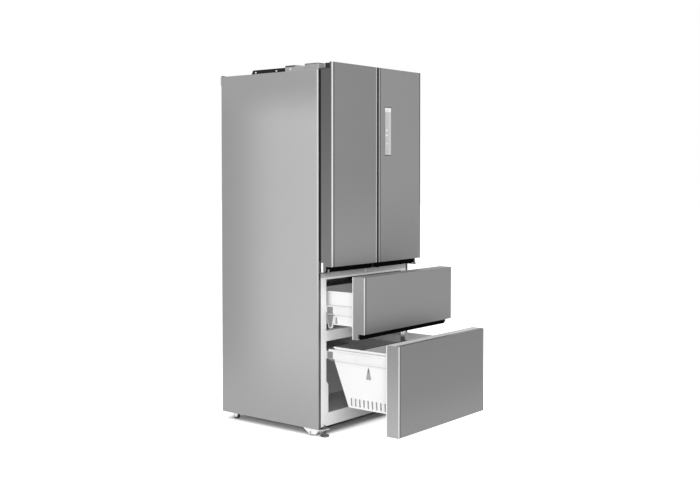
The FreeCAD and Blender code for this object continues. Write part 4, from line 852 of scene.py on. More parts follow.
class SubAssembly:
    """A group of pieces that ride on one body."""

    @property
    def body(self) -> str:
        """The body that the pieces ride on."""
        return "cabinet"

    def add(self, shell: Shell, name: str, finish: Finish, replaces: tuple[str, ...] = (),
            sheet: float = 0.0) -> bpy.types.Object:
        """Makes a piece from a shell and gives it its finish and its body.

        Args:
            shell: the piece's surfaces.
            name: the piece's name.
            finish: its finish.
            replaces: CAD nodes that it stands for.
            sheet: thickness given to open surfaces.

        Returns:
            The piece.
        """
        piece = shell.object(name)
        piece.data.materials.append(finish.material())
        if sheet:
            wall = piece.modifiers.new("wall", "SOLIDIFY")
            wall.thickness = sheet
            wall.offset = 0
        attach(piece, self.body)
        if replaces:
            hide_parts(*replaces)
        log.info("%s rides on %s", name, self.body)
        return piece

    def dress(self, node: str, finish: Finish, edge: float = 0.0) -> None:
        """Gives a CAD node its finish and, where asked for, soft edges.

        Args:
            node: the node's name.
            finish: its finish.
            edge: width of the rounding on its edges.
        """
        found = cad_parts[node]
        found.data.materials.clear()
        found.data.materials.append(finish.material())
        if edge:
            weld = found.modifiers.new("weld", "WELD")
            weld.merge_threshold = WELD_DISTANCE
            plane = found.modifiers.new("plane", "DECIMATE")
            plane.decimate_type = "DISSOLVE"
            plane.angle_limit = FLAT_ANGLE
            bend = found.modifiers.new("edge", "BEVEL")
            bend.width = edge
            bend.segments = 2
            bend.limit_method = "ANGLE"
            bend.angle_limit = BEVEL_ANGLE
            bend.harden_normals = True
        log.info("%s dressed as %s", node, finish.name)


@dataclass(frozen=True)
class ScrewHead:
    """Shape of a pan head with a cross recess, as shares of its radius."""

    rows: int = 9
    columns: int = 32
    middle: float = 0.02
    rise: float = 0.45
    rim: float = 0.04
    recess_half: float = 0.14
    recess_reach: float = 0.62
    recess_floor: float = 0.45


def screw_heads(shell: Shell, axis: Axis, face: float, places: list[Span], radius: float,
                outward: int) -> None:
    """Adds pan-head screws with a cross recess.

    The head's height over the disc is a half-ellipse dome, lowered in two crossing bars near its middle.

    Args:
        shell: the piece that they join.
        axis: the screws' axis.
        face: place of the surface that they sit on.
        places: their places across the axis.
        radius: head radius.
        outward: 1 or -1, the way that they face.
    """
    head = ScrewHead()
    share = np.linspace(1, head.middle, head.rows)[:, None]
    angle = np.linspace(0, 2 * math.pi, head.columns, endpoint=False)
    across, up = share * np.cos(angle), share * np.sin(angle)
    dome = head.rise * radius * np.sqrt(np.clip(1 + head.rim - share ** 2, 0, 1)) * np.ones_like(across)
    cross = (np.minimum(np.abs(across), np.abs(up)) < head.recess_half) & (share < head.recess_reach)
    dome = outward * np.where(cross, dome * head.recess_floor, dome)
    base = turned(axis, across[:1] * radius, up[:1] * radius, np.zeros_like(across[:1]))
    grid = np.concatenate([base, turned(axis, across * radius, up * radius, dome)])
    for place in places:
        shell.add_tube(grid + turned(axis, np.array(place[0]), np.array(place[1]), np.array(face)))


@dataclass
class Cabinet(SubAssembly):
    """Outer sheets, liners, crossbars and what stays on the cabinet's outside.

    A span holds two signed distances from an edge, between which a tone takes over; a rise holds two heights.
    """

    swage_depth: float = 0.0016
    swage_width: float = 0.012
    swage_count: int = 6
    swage_margin: float = 0.11
    swage_fade: float = 0.4
    sheet_grid: tuple[int, int] = (61, 181)
    side_tone: float = 0.38
    # Painted shade on the side panels: darker to the rear, the foot and the top.
    rear_shade: float = 0.25
    rear_start: float = 0.22
    foot_shade: float = 0.31
    foot_height: float = 0.45
    top_tone: float = 0.27
    top_span: Span = (-0.25, -0.05)
    # Painted highlight along the side panels' front bend, fading out towards the foot.
    panel_bend_highlight: float = 0.56
    bend_span: Span = (0.010, 0.006)
    bend_rise: Span = (0.4, 0.9)
    flange_tone: float = 0.085
    # Painted shade on the front flange above the drawers, behind the doors.
    flange_gap_shade: float = 0.030
    flange_wall: Span = (0.0006, 0.0014)
    flange_span: Span = (0.06, 0.05)
    flange_rise: Span = (0.72, 0.73)
    # Painted shadow along the base tray's front edge, under the sill.
    tray_shadow_span: Span = (0.03, 0.02)
    foam_tone: float = 0.22
    foam_span: Span = (-0.003, -0.002)
    hinge_tone: float = 0.12
    hinge_edge: float = 0.0005
    top_hinge_tone: float = 0.02
    top_hinge_rise: Span = (1.60, 1.61)
    liner_tone: float = 0.90
    # Painted shade inside the freezer, black under its ceiling, with a band of painted light across its
    # middle.
    inside_shade: float = 0.49
    inside_span: Span = (0.0012, 0.004)
    ceiling_shade_rise: Span = (0.655, 0.665)
    lit_band_foot: Span = (0.40, 0.42)
    lit_band_top: Span = (0.50, 0.49)
    # Painted shade on the crossbars: the upper bar greyed above its white foot, the sill darker to the right,
    # and a painted shadow line along the sill's foot.
    bar_shade: float = 0.50
    bar_foot_tone: float = 0.90
    bar_foot_span: Span = (0.009, 0.007)
    rail_tone: float = 0.88
    rail_span: Span = (-0.10, -0.12)
    sill_shade: float = 0.46
    sill_height: float = 0.01
    sill_reach: float = 0.36
    sill_shadow_span: Span = (0.0025, 0.0015)
    bracket_edge: float = 0.0004
    # Painted shadow along the roller brackets' lower edge.
    bracket_shadow_tone: float = 0.03
    bracket_shadow_span: Span = (0.0028, 0.0018)
    bracket_screw: Span = (-0.0376, 0.0182)
    bracket_screw_radius: float = 0.0034
    plate_half: float = 0.003
    plate_corner: float = 0.0015
    plate_gap: float = 0.0015
    plate_top: float = 0.762
    plate_depth: Span = (-0.002, 0.0004)

    def build(self) -> None:
        """Dresses the sheets and liners and adds the back sheet and crossbar trims."""
        front = cabinet_front()
        self.side_panels()
        self.dress("top_panel", SIDE_PAINT, edge=SHEET_EDGE)
        # Painted shadow: the base tray is near black along its front edge, under the sill.
        self.dress("base_tray", replace(ZINC, name="zinc_base_tray", metallic=0.2, specular=0.1,
                                        ramps=(shade(NEAR_BLACK, near(Axis.Y, front, *self.tray_shadow_span)),)))
        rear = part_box("insulation")[1].y
        facing = shade(self.foam_tone, near(Axis.Y, rear, *self.foam_span))
        self.dress("insulation", replace(FOAM, name="cabinet_foam", ramps=(facing,)))
        self.dress("fridge_liner", LINER_WHITE)
        self.freezer_inside()
        self.crossbars()
        top_hinges = shade(self.top_hinge_tone, Zone(Axis.Z, *self.top_hinge_rise))
        self.dress("hinge_brackets", WHITE_ENAMEL.shaded("enamel_hinges", self.hinge_tone, top_hinges),
                   edge=self.hinge_edge)
        self.dress("outer_rails", BIN_WHITE)
        self.roller_brackets()
        self.back_sheet()
        self.centre_plate()

    def side_panels(self) -> None:
        """Painted sides with painted shade to the rear, foot and top, a painted highlight on the front bend,
        and a dark front flange with painted shade on it behind the doors.
        """
        low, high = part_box("side_panel_left")
        front = low.y
        for side in Side:
            outer = -side.outward * low.x
            wall = near(Axis.X, outer, *(-side.outward * depth for depth in self.flange_wall))
            flange = (wall, near(Axis.Y, front, *self.flange_span))
            low_bend, high_bend = self.bend_rise
            # Painted shade to the rear, foot and top, a painted highlight on the front bend, the flange's own
            # dark grey, and painted shade on the flange behind the doors.
            ramps = (
                shade(self.rear_shade, Zone(Axis.Y, front + self.rear_start, high.y)),
                shade(self.foot_shade, Zone(Axis.Z, low.z + self.foot_height, low.z)),
                shade(self.top_tone, near(Axis.Z, high.z, *self.top_span)),
                shade(self.panel_bend_highlight, near(Axis.Y, front, *self.bend_span),
                      near(Axis.Z, low.z, low_bend, high_bend)),
                shade(self.flange_tone, *flange),
                shade(self.flange_gap_shade, *flange, Zone(Axis.Z, *self.flange_rise)),
            )
            paint = SIDE_PAINT.shaded(f"grey_side_paint_{side}", self.side_tone, *ramps)
            self.dress(f"side_panel_{side}", paint, edge=SHEET_EDGE)

    def freezer_inside(self) -> None:
        """White stiles round a freezer space in painted shade, painted black under its ceiling, with a band
        of painted light across its middle.
        """
        inside = near(Axis.Y, cabinet_front(), *self.inside_span)
        self.dress("freezer_liner", BIN_WHITE.shaded(
            "freezer_liner", self.liner_tone,
            shade(self.inside_shade, inside),
            shade(NEAR_BLACK, inside, Zone(Axis.Z, *self.ceiling_shade_rise)),
            shade(self.liner_tone, inside, Zone(Axis.Z, *self.lit_band_foot), Zone(Axis.Z, *self.lit_band_top)),
            roughness=0.5))

    def crossbars(self) -> None:
        """Front crossbars of white enamel: painted shade greys the upper one above its white foot, darkens
        the sill to the right and lays a painted shadow line along the sill's foot.
        """
        low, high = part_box("freezer_liner")
        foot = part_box("front_crossbars")[0]
        self.dress("front_crossbars", WHITE_ENAMEL.shaded(
            "white_enamel_bars", self.bar_shade,
            shade(self.bar_foot_tone, near(Axis.Z, high.z, *self.bar_foot_span)),
            shade(self.rail_tone, near(Axis.Z, high.z, *self.rail_span)),
            shade(self.sill_shade, near(Axis.Z, low.z, self.sill_height, 0),
                  near(Axis.X, foot.x, 0, self.sill_reach)),
            shade(NEAR_BLACK, near(Axis.Z, foot.z, *self.sill_shadow_span)),
            roughness=0.4), edge=TRIM_EDGE)

    def roller_brackets(self) -> None:
        """Bright brackets with painted shadow along their lower edge, and a dark screw on each outer face."""
        low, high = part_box("roller_brackets")
        line = shade(self.bracket_shadow_tone, near(Axis.Z, low.z, *self.bracket_shadow_span))
        self.dress("roller_brackets", replace(BRIGHT_ZINC, name="bracket_zinc", ramps=(line,)),
                   edge=self.bracket_edge)
        for side, face in ((Side.LEFT, low.x), (Side.RIGHT, high.x)):
            shell = Shell()
            screw_heads(shell, Axis.X, face, [self.bracket_screw], self.bracket_screw_radius, side.outward)
            self.add(shell, f"bracket_screw_{side}", DARK_PLASTIC)

    def centre_plate(self) -> None:
        """A small white stop plate at the middle of the upper crossbar."""
        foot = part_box("upper_drawer_gasket")[1].z + self.plate_gap
        half = self.plate_half
        outline = rounded_outline((-half, half), (foot, self.plate_top), self.plate_corner)
        front = cabinet_front()
        shell = Shell()
        shell.add_tube(bar(Axis.Y, outline, (front + self.plate_depth[0], front + self.plate_depth[1])))
        self.add(shell, "centre_stop_plate", BIN_WHITE)

    def back_sheet(self) -> None:
        """Rear sheet with long upright swages.

        The sheet's place along Y rises by a smooth hump across X, repeated at even steps, and the humps fade
        out towards the sheet's foot and top.
        """
        low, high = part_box("back_panel")
        rows, columns = self.sheet_grid
        x = np.linspace(low.x, high.x, columns)[None, :]
        z = np.linspace(low.z, high.z, rows)[:, None]
        centres = np.linspace(low.x + self.swage_margin, high.x - self.swage_margin, self.swage_count)
        humps = np.exp(-((x[..., None] - centres) / self.swage_width) ** 2).sum(axis=-1)
        ends = np.clip(np.minimum(z - low.z, high.z - z) / self.swage_margin - self.swage_fade, 0, 1)
        fade = ends * ends * (3 - 2 * ends)
        middle = (low.y + high.y) / 2
        shell = Shell()
        shell.add_sheet(turned(Axis.Y, x, z, middle + self.swage_depth * humps * fade))
        self.add(shell, "back_sheet", ZINC, ("back_panel",), sheet=high.y - low.y)


@dataclass
class TopCovers(SubAssembly):
    """The moulded covers on the cabinet's top."""

    box_half: float = 0.230
    box_depth: float = 0.312
    slope: float = 0.014
    corner: float = 0.006
    edge: float = 0.003
    lid_inset: Span = (0.05, 0.035)
    lid_rise: Span = (-0.004, -0.0002)
    lid_edge: float = 0.0015
    lid_step: float = 0.002
    screw_inset: float = 0.03
    screw_radius: float = 0.0045
    clip_shares: tuple[float, ...] = (0.14, 0.585, 0.86)
    clip_half: float = 0.0035
    clip_rise: Span = (0.5, 0.7)
    clip_corner: float = 0.002
    clip_depth: float = 0.006
    clip_lean: float = 0.40
    duct_width: float = 0.110
    duct_height: float = 0.036
    duct_end: float = 0.015
    duct_flat: float = 0.3
    duct_rows: int = 25
    duct_reach: float = 0.8
    duct_round: float = 0.8
    duct_line: float = 0.0075
    duct_line_blur: float = 0.001
    duct_line_span: Span = (-0.054, -0.050)
    duct_clip: float = 0.022
    duct_clip_half: float = 0.005
    duct_clip_rise: Span = (0.012, 0.022)
    duct_clip_corner: float = 0.003
    duct_clip_depth: Span = (-0.0006, 0.001)
    tab_length: float = 0.034
    tab_flat: float = 0.014
    tab_height: float = 0.0055
    tab_front_share: float = 0.8
    tab_sunk: float = 0.0005
    tab_inset: float = 0.001
    tab_wall: Span = (0.0005, 0.012)
    hinge_width: float = 0.072
    hinge_corner: float = 0.008
    hinge_edge: float = 0.004
    hinge_slope: float = 0.002
    hinge_tone: float = 0.27
    hinge_line_span: Span = (-0.0055, -0.0045)
    inlay_drop: float = 0.001
    inlay_inset: float = 0.012
    inlay_height: float = 0.002
    inlay_corner: float = 0.005
    inlay_edge: float = 0.0008

    def build(self) -> None:
        """Adds the control box, cable duct, hinge covers and corner tabs."""
        self.control_box()
        self.cable_duct()
        self.hinge_covers()
        self.corner_tabs()

    def control_box(self) -> None:
        """Dark moulded box with sloped sides, a recessed lid line and four screws."""
        low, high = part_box("control_cover")
        front, half = high.y - self.box_depth, self.box_half
        lid = high.z - self.lid_step
        shell = Shell()
        shell.add_tube(pillow((-half, half), (front, high.y), (low.z, lid), self.corner, self.edge,
                              self.slope))
        inset_x, inset_y = self.lid_inset
        lid_foot, lid_top = self.lid_rise
        shell.add_tube(pillow((inset_x - half, half - inset_x), (front + inset_y, high.y - inset_y),
                              (high.z + lid_foot, high.z + lid_top), self.corner, self.lid_edge))
        self.add(shell, "control_box", DARK_PLASTIC, ("control_cover",))
        screws = Shell()
        inset = self.screw_inset
        places = [(x, y) for x in (inset - half, half - inset) for y in (front + inset, high.y - inset)]
        screw_heads(screws, Axis.Z, lid, places, self.screw_radius, 1)
        self.add(screws, "control_box_screws", SCREW)
        self.side_clips(front, high.y, low.z, high.z - low.z)

    def side_clips(self, front: float, back: float, foot: float, height: float) -> None:
        """Bright snap clips on the box's sloped sides, each a small rounded tab.

        Args:
            front: the box's front foot.
            back: its rear foot.
            foot: its lower edge.
            height: its height.
        """
        rise = tuple(foot + height * share for share in self.clip_rise)
        shell = Shell()
        for share in self.clip_shares:
            middle, half = back + (front - back) * share, self.clip_half
            outline = rounded_outline((middle - half, middle + half), rise, self.clip_corner)
            for side in Side:
                outer = side.outward * (self.box_half - self.slope * self.clip_lean)
                shell.add_tube(bar(Axis.X, outline, (outer - side.outward * self.clip_depth, outer)))
        self.add(shell, "control_box_clips", BRIGHT_ZINC)

    def cable_duct(self) -> None:
        """Pale duct in front of the box: its top climbs smoothly to a flat rear stretch and has round edges.

        The height climbs by a quarter of a sine over the share of the length before the flat stretch. A row
        goes up the left wall, round a quarter circle, across, and down the right one.
        """
        low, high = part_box("control_cover")
        back = high.y - self.box_depth
        y = np.linspace(low.y, back + self.slope * self.duct_reach, self.duct_rows)
        share = np.clip((y - low.y) / (back - low.y) / (1 - self.duct_flat), 0, 1)
        height = self.duct_end + (self.duct_height - self.duct_end) * np.sin(share * math.pi / 2)
        x0, x1 = low.x, low.x + self.duct_width
        turn = np.linspace(0, math.pi / 2, CORNER_STEPS + 1)
        radius = np.minimum(self.edge * 2, height * self.duct_round)[:, None]
        left = x0 + radius * (1 - np.cos(turn))
        level = low.z + height[:, None] - radius + radius * np.sin(turn)
        foot = np.full((len(y), 1), low.z)
        across = np.concatenate([np.full_like(foot, x0), left, x1 - (left - x0)[:, ::-1],
                                 np.full_like(foot, x1)], axis=1)
        up = np.concatenate([foot, level, level[:, ::-1], foot], axis=1)
        shell = Shell()
        shell.add_tube(turned(Axis.Y, across, up, y[:, None]))
        seam = low.z + self.duct_height - self.duct_line
        line = shade(DARK_LINE, near(Axis.Z, seam, -self.duct_line_blur, 0),
                     near(Axis.Y, back, *self.duct_line_span))
        self.add(shell, "cable_duct", replace(DUCT_GREY, ramps=(line,)))
        middle, half = back - self.duct_clip, self.duct_clip_half
        outline = rounded_outline((middle - half, middle + half),
                                  tuple(low.z + rise for rise in self.duct_clip_rise), self.duct_clip_corner)
        clip = Shell()
        clip.add_tube(bar(Axis.X, outline, tuple(x0 + depth for depth in self.duct_clip_depth)))
        self.add(clip, "cable_duct_clip", BRIGHT_ZINC)

    def corner_tabs(self) -> None:
        """Small dark tabs that stand on the rear corners of the top, each a bar with a sloped front."""
        low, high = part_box("side_panel_left")
        rear, foot, top = high.y - self.tab_inset, high.z - self.tab_sunk, high.z + self.tab_height
        outline = np.array([(rear - self.tab_length, foot), (rear, foot), (rear, top),
                            (rear - self.tab_flat, high.z + self.tab_height * self.tab_front_share)])
        shell = Shell()
        for side in Side:
            outer = -side.outward * low.x
            shell.add_tube(bar(Axis.X, outline, tuple(outer - side.outward * wall for wall in self.tab_wall)))
        self.add(shell, "rear_corner_tabs", TAB_GREY)

    def hinge_covers(self) -> None:
        """A round-edged cover over each top hinge, with a dark inlay on its top."""
        low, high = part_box("hinge_covers")
        inset = self.inlay_inset
        edge = shade(DARK_LINE, near(Axis.Z, high.z, *self.hinge_line_span))
        paint = SIDE_PAINT.shaded("hinge_cover_grey", self.hinge_tone, edge)
        for side, x in ((Side.LEFT, (low.x, low.x + self.hinge_width)),
                        (Side.RIGHT, (high.x - self.hinge_width, high.x))):
            shell = Shell()
            shell.add_tube(pillow(x, (low.y, high.y), (low.z, high.z - self.inlay_drop), self.hinge_corner,
                                  self.hinge_edge, self.hinge_slope))
            self.add(shell, f"hinge_cover_{side}", paint, ("hinge_covers",))
            inlay = Shell()
            inlay.add_tube(pillow((x[0] + inset, x[1] - inset), (low.y + inset, high.y - inset),
                                  (high.z - self.inlay_height, high.z), self.inlay_corner, self.inlay_edge))
            self.add(inlay, f"hinge_cover_inlay_{side}", DARK_PLASTIC)


@dataclass
class MachineRoom(SubAssembly):
    """The cooling machinery and its slotted rear cover."""

    slots: int = 14
    slot_pitch: float = 0.028
    slot_width: float = 0.007
    slot_height: float = 0.090
    hood: float = 0.003
    hood_swell: float = 0.4
    hood_sheet: float = 0.0006
    hood_grid: tuple[int, int] = (13, 6)
    cover_rim: float = 0.005
    screw_inset: float = 0.015
    screw_radius: float = 0.0045

    def build(self) -> None:
        """Dresses the machinery and adds the louvre hoods and screws."""
        self.dress("compressor", BLACK_ENAMEL)
        self.dress("condenser", FIN_METAL)
        self.dress("evaporator", FIN_METAL)
        self.dress("air_ducts", LINER_WHITE, edge=TRIM_EDGE)
        self.dress("machine_cover", DARK_PLASTIC)
        self.dress("evaporator_fan", LINER_WHITE)
        self.dress("condenser_fan", DARK_PLASTIC)
        self.louvres()

    def louvres(self) -> None:
        """Hoods over the slots, open at one side: each bulges by a sine along its height and one across."""
        low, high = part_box("machine_cover")
        face = high.y - self.cover_rim
        middle = (low.z + high.z) / 2
        rows, columns = self.hood_grid
        along = np.linspace(0, 1, rows)[:, None]
        across = np.linspace(0, 1, columns)[None, :]
        bulge = self.hood * np.sin(math.pi * along) ** self.hood_swell * np.sin(math.pi / 2 * across)
        shell = Shell()
        for k in range(self.slots):
            left = (k - self.slots / 2) * self.slot_pitch
            shell.add_sheet(turned(Axis.Y, left + self.slot_width * across,
                                   middle + self.slot_height * (along - 0.5), face + bulge))
        self.add(shell, "machine_louvres", DARK_PLASTIC, sheet=self.hood_sheet)
        screws = Shell()
        inset = self.screw_inset
        places = [(x, z) for x in (low.x + inset, 0.0, high.x - inset)
                  for z in (low.z + inset, high.z - inset)]
        screw_heads(screws, Axis.Y, face, places, self.screw_radius, 1)
        self.add(screws, "machine_cover_screws", SCREW)


@dataclass
class FridgeInside(SubAssembly):
    """Shelves, crispers and lamp of the fridge compartment."""

    trim_height: float = 0.014
    trim_depth: float = 0.010
    trim_overlap: float = 0.001
    trim_drop: float = 0.005
    trim_corner: float = 0.004
    lamp_half: Span = (0.15, 0.025)
    lamp_height: float = 0.012
    lamp_corner: float = 0.01
    lamp_edge: float = 0.006
    lamp_setback: float = 0.10
    ceiling_drop: float = 0.0563

    def build(self) -> None:
        """Dresses shelves and crispers and adds their trims and the lamp."""
        self.dress("glass_shelves", SHELF_GLASS)
        self.dress("crispers", CLEAR_PLASTIC)
        self.shelf_trims()
        self.lamp()

    def shelf_trims(self) -> None:
        """A rounded strip along each shelf's front edge."""
        low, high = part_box("glass_shelves")
        levels = node_levels("glass_shelves", Axis.Z)[::3]
        for number, level in enumerate(levels, start=1):
            foot = level - self.trim_drop
            outline = rounded_outline((low.y - self.trim_depth, low.y + self.trim_overlap),
                                      (foot, foot + self.trim_height), self.trim_corner)
            shell = Shell()
            shell.add_tube(bar(Axis.X, outline, (low.x, high.x)))
            self.add(shell, f"shelf_trim_{number}", BIN_WHITE)

    def lamp(self) -> None:
        """A shallow lens under the fridge's ceiling: a pillow turned upside down."""
        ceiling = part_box("top_panel")[1].z - self.ceiling_drop
        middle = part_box("glass_shelves")[0].y + self.lamp_setback
        half_x, half_y = self.lamp_half
        grid = pillow((-half_x, half_x), (middle - half_y, middle + half_y), (0, self.lamp_height),
                      self.lamp_corner, self.lamp_edge)
        grid[..., 2] = ceiling - grid[..., 2]
        shell = Shell()
        shell.add_tube(grid)
        self.add(shell, "lamp_lens", LAMP_LENS)


SEAL_WIDTH = 0.012
SEAL_PROFILE = np.array([
    (0.22, 0.00), (0.78, 0.00), (0.78, 0.14), (0.60, 0.24), (0.84, 0.36), (0.62, 0.48), (0.96, 0.60),
    (1.00, 0.72), (1.00, 0.94), (0.92, 1.00), (0.08, 1.00), (0.00, 0.94), (0.00, 0.72), (0.04, 0.60),
    (0.38, 0.48), (0.16, 0.36), (0.40, 0.24), (0.22, 0.14),
])


def gasket_ring(shell: Shell, node: str) -> None:
    """Adds a door seal: a foot in the panel, a narrow bellows and a wide magnet bag, carried round the door.

    Args:
        shell: the piece that it joins.
        node: the CAD ring whose box it fills.
    """
    low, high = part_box(node)
    inset, depth = SEAL_WIDTH * SEAL_PROFILE[:, 0], low.y + (high.y - low.y) * SEAL_PROFILE[:, 1]
    shell.add_tube(frame_sweep((low.x, high.x), (low.z, high.z), inset, depth), ring=True)


@dataclass
class HingedDoor(SubAssembly):
    """One of the two upper doors."""

    side: Side
    steel: FrontSteel
    cap_tone: float = 0.04
    pocket_span: Span = (0.06, 0.055)
    rail_radius: float = 0.003
    rail_columns: int = 16
    rail_inset: float = 0.014
    # Sizes of the black strip of painted shade at the door's free edge.
    strip_wall: Span = (-0.0022, 0.0012)
    strip_depth: Span = (0.0001, 0.006)
    strip_corner: float = 0.0003
    strip_inset: float = 0.002

    @property
    def body(self) -> str:
        """The door's own body."""
        return f"{self.side}_door"

    def build(self) -> None:
        """Dresses the door's nodes and adds its seal, a black strip of painted shade in the gap at its free
        edge, and tray rails.
        """
        name = self.body
        self.dress(f"{name}_skin", self.steel.finish())
        self.gap_shade_strip()
        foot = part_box(f"{name}_skin")[0].z
        pocket = shade(NEAR_BLACK, near(Axis.Z, foot, *self.pocket_span))
        self.dress(f"{name}_caps", MID_PLASTIC.shaded(f"{name}_caps", self.cap_tone, pocket, roughness=0.6,
                                                      specular=0.0), edge=TRIM_EDGE)
        self.dress(f"{name}_core", FOAM)
        self.dress(f"{name}_liner", LINER_WHITE, edge=ROUND_EDGE)
        self.dress(f"{name}_grip", GRIP_BLACK)
        self.dress(f"{name}_balconies", CLEAR_PLASTIC)
        shell = Shell()
        gasket_ring(shell, f"{name}_gasket")
        self.add(shell, f"{name}_seal", GASKET, (f"{name}_gasket",))
        self.tray_rails()

    def tray_rails(self) -> None:
        """A bright rail on each tray's front lip: a small circle carried along the tray's width."""
        node = f"{self.body}_balconies"
        low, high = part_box(node)
        angle = np.linspace(0, 2 * math.pi, self.rail_columns, endpoint=False)
        shell = Shell()
        for top in node_levels(node, Axis.Z)[2::3]:
            outline = np.stack([high.y + self.rail_radius * np.cos(angle) - self.rail_radius,
                                top + self.rail_radius * np.sin(angle)], axis=1)
            shell.add_tube(bar(Axis.X, outline, (low.x + self.rail_inset, high.x - self.rail_inset)))
        self.add(shell, f"{self.body}_tray_rails", SCREW)

    def gap_shade_strip(self) -> None:
        """A black strip along the door's free edge, lying in the hollow of the skin's bend: a dark piece of
        painted shade that stands for the shadow in the gap between the doors.
        """
        low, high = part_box(f"{self.body}_skin")
        edge = high.x if self.side is Side.LEFT else low.x
        wall = sorted(edge - self.side.outward * reach for reach in self.strip_wall)
        outline = rounded_outline(tuple(wall), tuple(low.y + depth for depth in self.strip_depth),
                                  self.strip_corner)
        shell = Shell()
        shell.add_tube(bar(Axis.Z, outline, (low.z + self.strip_inset, high.z - self.strip_inset)))
        self.add(shell, f"{self.body}_gap_shade_strip", GRIP_BLACK)


@dataclass
class TouchDisplay(SubAssembly):
    """The glass strip with touch fields on the right door.

    A field is its place across and up as shares of the strip, and its radius.
    """

    left_tone: float = 0.42
    right_tone: float = 0.48
    split: float = 0.60
    split_blur: float = 0.001
    top_tone: float = 0.72
    top_span: Span = (-0.024, -0.014)
    fields: tuple[Point, ...] = ((0.26, 0.525, 0.0042), (0.26, 0.415, 0.0040), (0.34, 0.235, 0.0030))
    field_rise: float = 0.0002
    field_sunk: float = 0.0003
    field_turn: float = 0.95
    field_columns: int = 32
    dot_share: float = 0.42
    dot_drop: float = 0.010
    dot_radius: float = 0.003
    line_gaps: Span = (0.0015, -0.0050)
    line_height: float = 0.0035
    line_reach: Span = (-0.003, 0.002)
    line_corner: float = 0.001
    line_depth: Span = (-0.0003, 0.0010)

    @property
    def body(self) -> str:
        """The door that carries the strip."""
        return "right_door"

    def build(self) -> None:
        """Dresses the strip, brighter to the right, and adds its touch fields and its dark marks."""
        low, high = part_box("touch_display")
        width, height = high.x - low.x, high.z - low.z
        brighter = near(Axis.X, low.x + width * self.split, -self.split_blur, self.split_blur)
        ramps = (shade(self.right_tone, brighter), shade(self.top_tone, near(Axis.Z, high.z, *self.top_span)))
        glass = Finish("display_strip", "display_glass", grey(self.left_tone), 0.35, Texture.PAINTED,
                       fineness=500, tone_spread=0.02, bump=0.0, ramps=ramps)
        self.dress("touch_display", glass, edge=TRIM_EDGE)
        shell = Shell()
        for across, up, radius in self.fields:
            self.disc(shell, low.x + width * across, low.z + height * up, low.y, radius)
        self.add(shell, "touch_fields", FIELD_WHITE)
        marks = Shell()
        self.disc(marks, low.x + width * self.dot_share, high.z - self.dot_drop, low.y, self.dot_radius)
        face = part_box("right_door_skin")[0].y
        depth = tuple(face + step for step in self.line_depth)
        for end, gap in zip((high.z, low.z), self.line_gaps):
            outline = rounded_outline((low.x + self.line_reach[0], high.x + self.line_reach[1]),
                                      (end + gap, end + gap + self.line_height), self.line_corner)
            marks.add_tube(bar(Axis.Y, outline, depth))
        self.add(marks, "touch_marks", MARKS)

    def disc(self, shell: Shell, x: float, z: float, y: float, radius: float) -> None:
        """Adds a low round dome on the glass: its radius falls as a quarter circle while it rises.

        Args:
            shell: the piece that it joins.
            x: place across.
            z: place up.
            y: the glass's face.
            radius: the dome's radius.
        """
        turn = np.linspace(0, self.field_turn * math.pi / 2, CORNER_STEPS)
        radii = np.concatenate([[radius], radius * np.cos(turn)])
        rise = np.concatenate([[-self.field_sunk], self.field_rise * np.sin(turn)])
        shell.add_tube(lathe(Axis.Y, (x, z), radii, y - rise, segments=self.field_columns))


@dataclass(frozen=True)
class SlideHook:
    """Sizes of the hook under an upper runner, along Y from the cabinet's front edge."""

    low: float = -0.038
    high: float = -0.006
    toe_place: float = -0.020
    toe_radius: float = 0.009
    toe_height: float = 0.512
    toe_steps: int = 9
    sunk: float = 0.001
    edge: float = 0.004
    outer: float = 0.2905
    edge_outer: float = 0.2890
    thickness: float = 0.006


@dataclass(frozen=True)
class RunnerTail:
    """Sizes of the block behind a lower runner."""

    overlap: float = 0.001
    length: float = 0.036
    inset: float = 0.002
    cap_height: float = 0.010
    corner: float = 0.003
    walls: Span = (0.2814, 0.2858)
    cap_walls: Span = (0.2812, 0.2861)


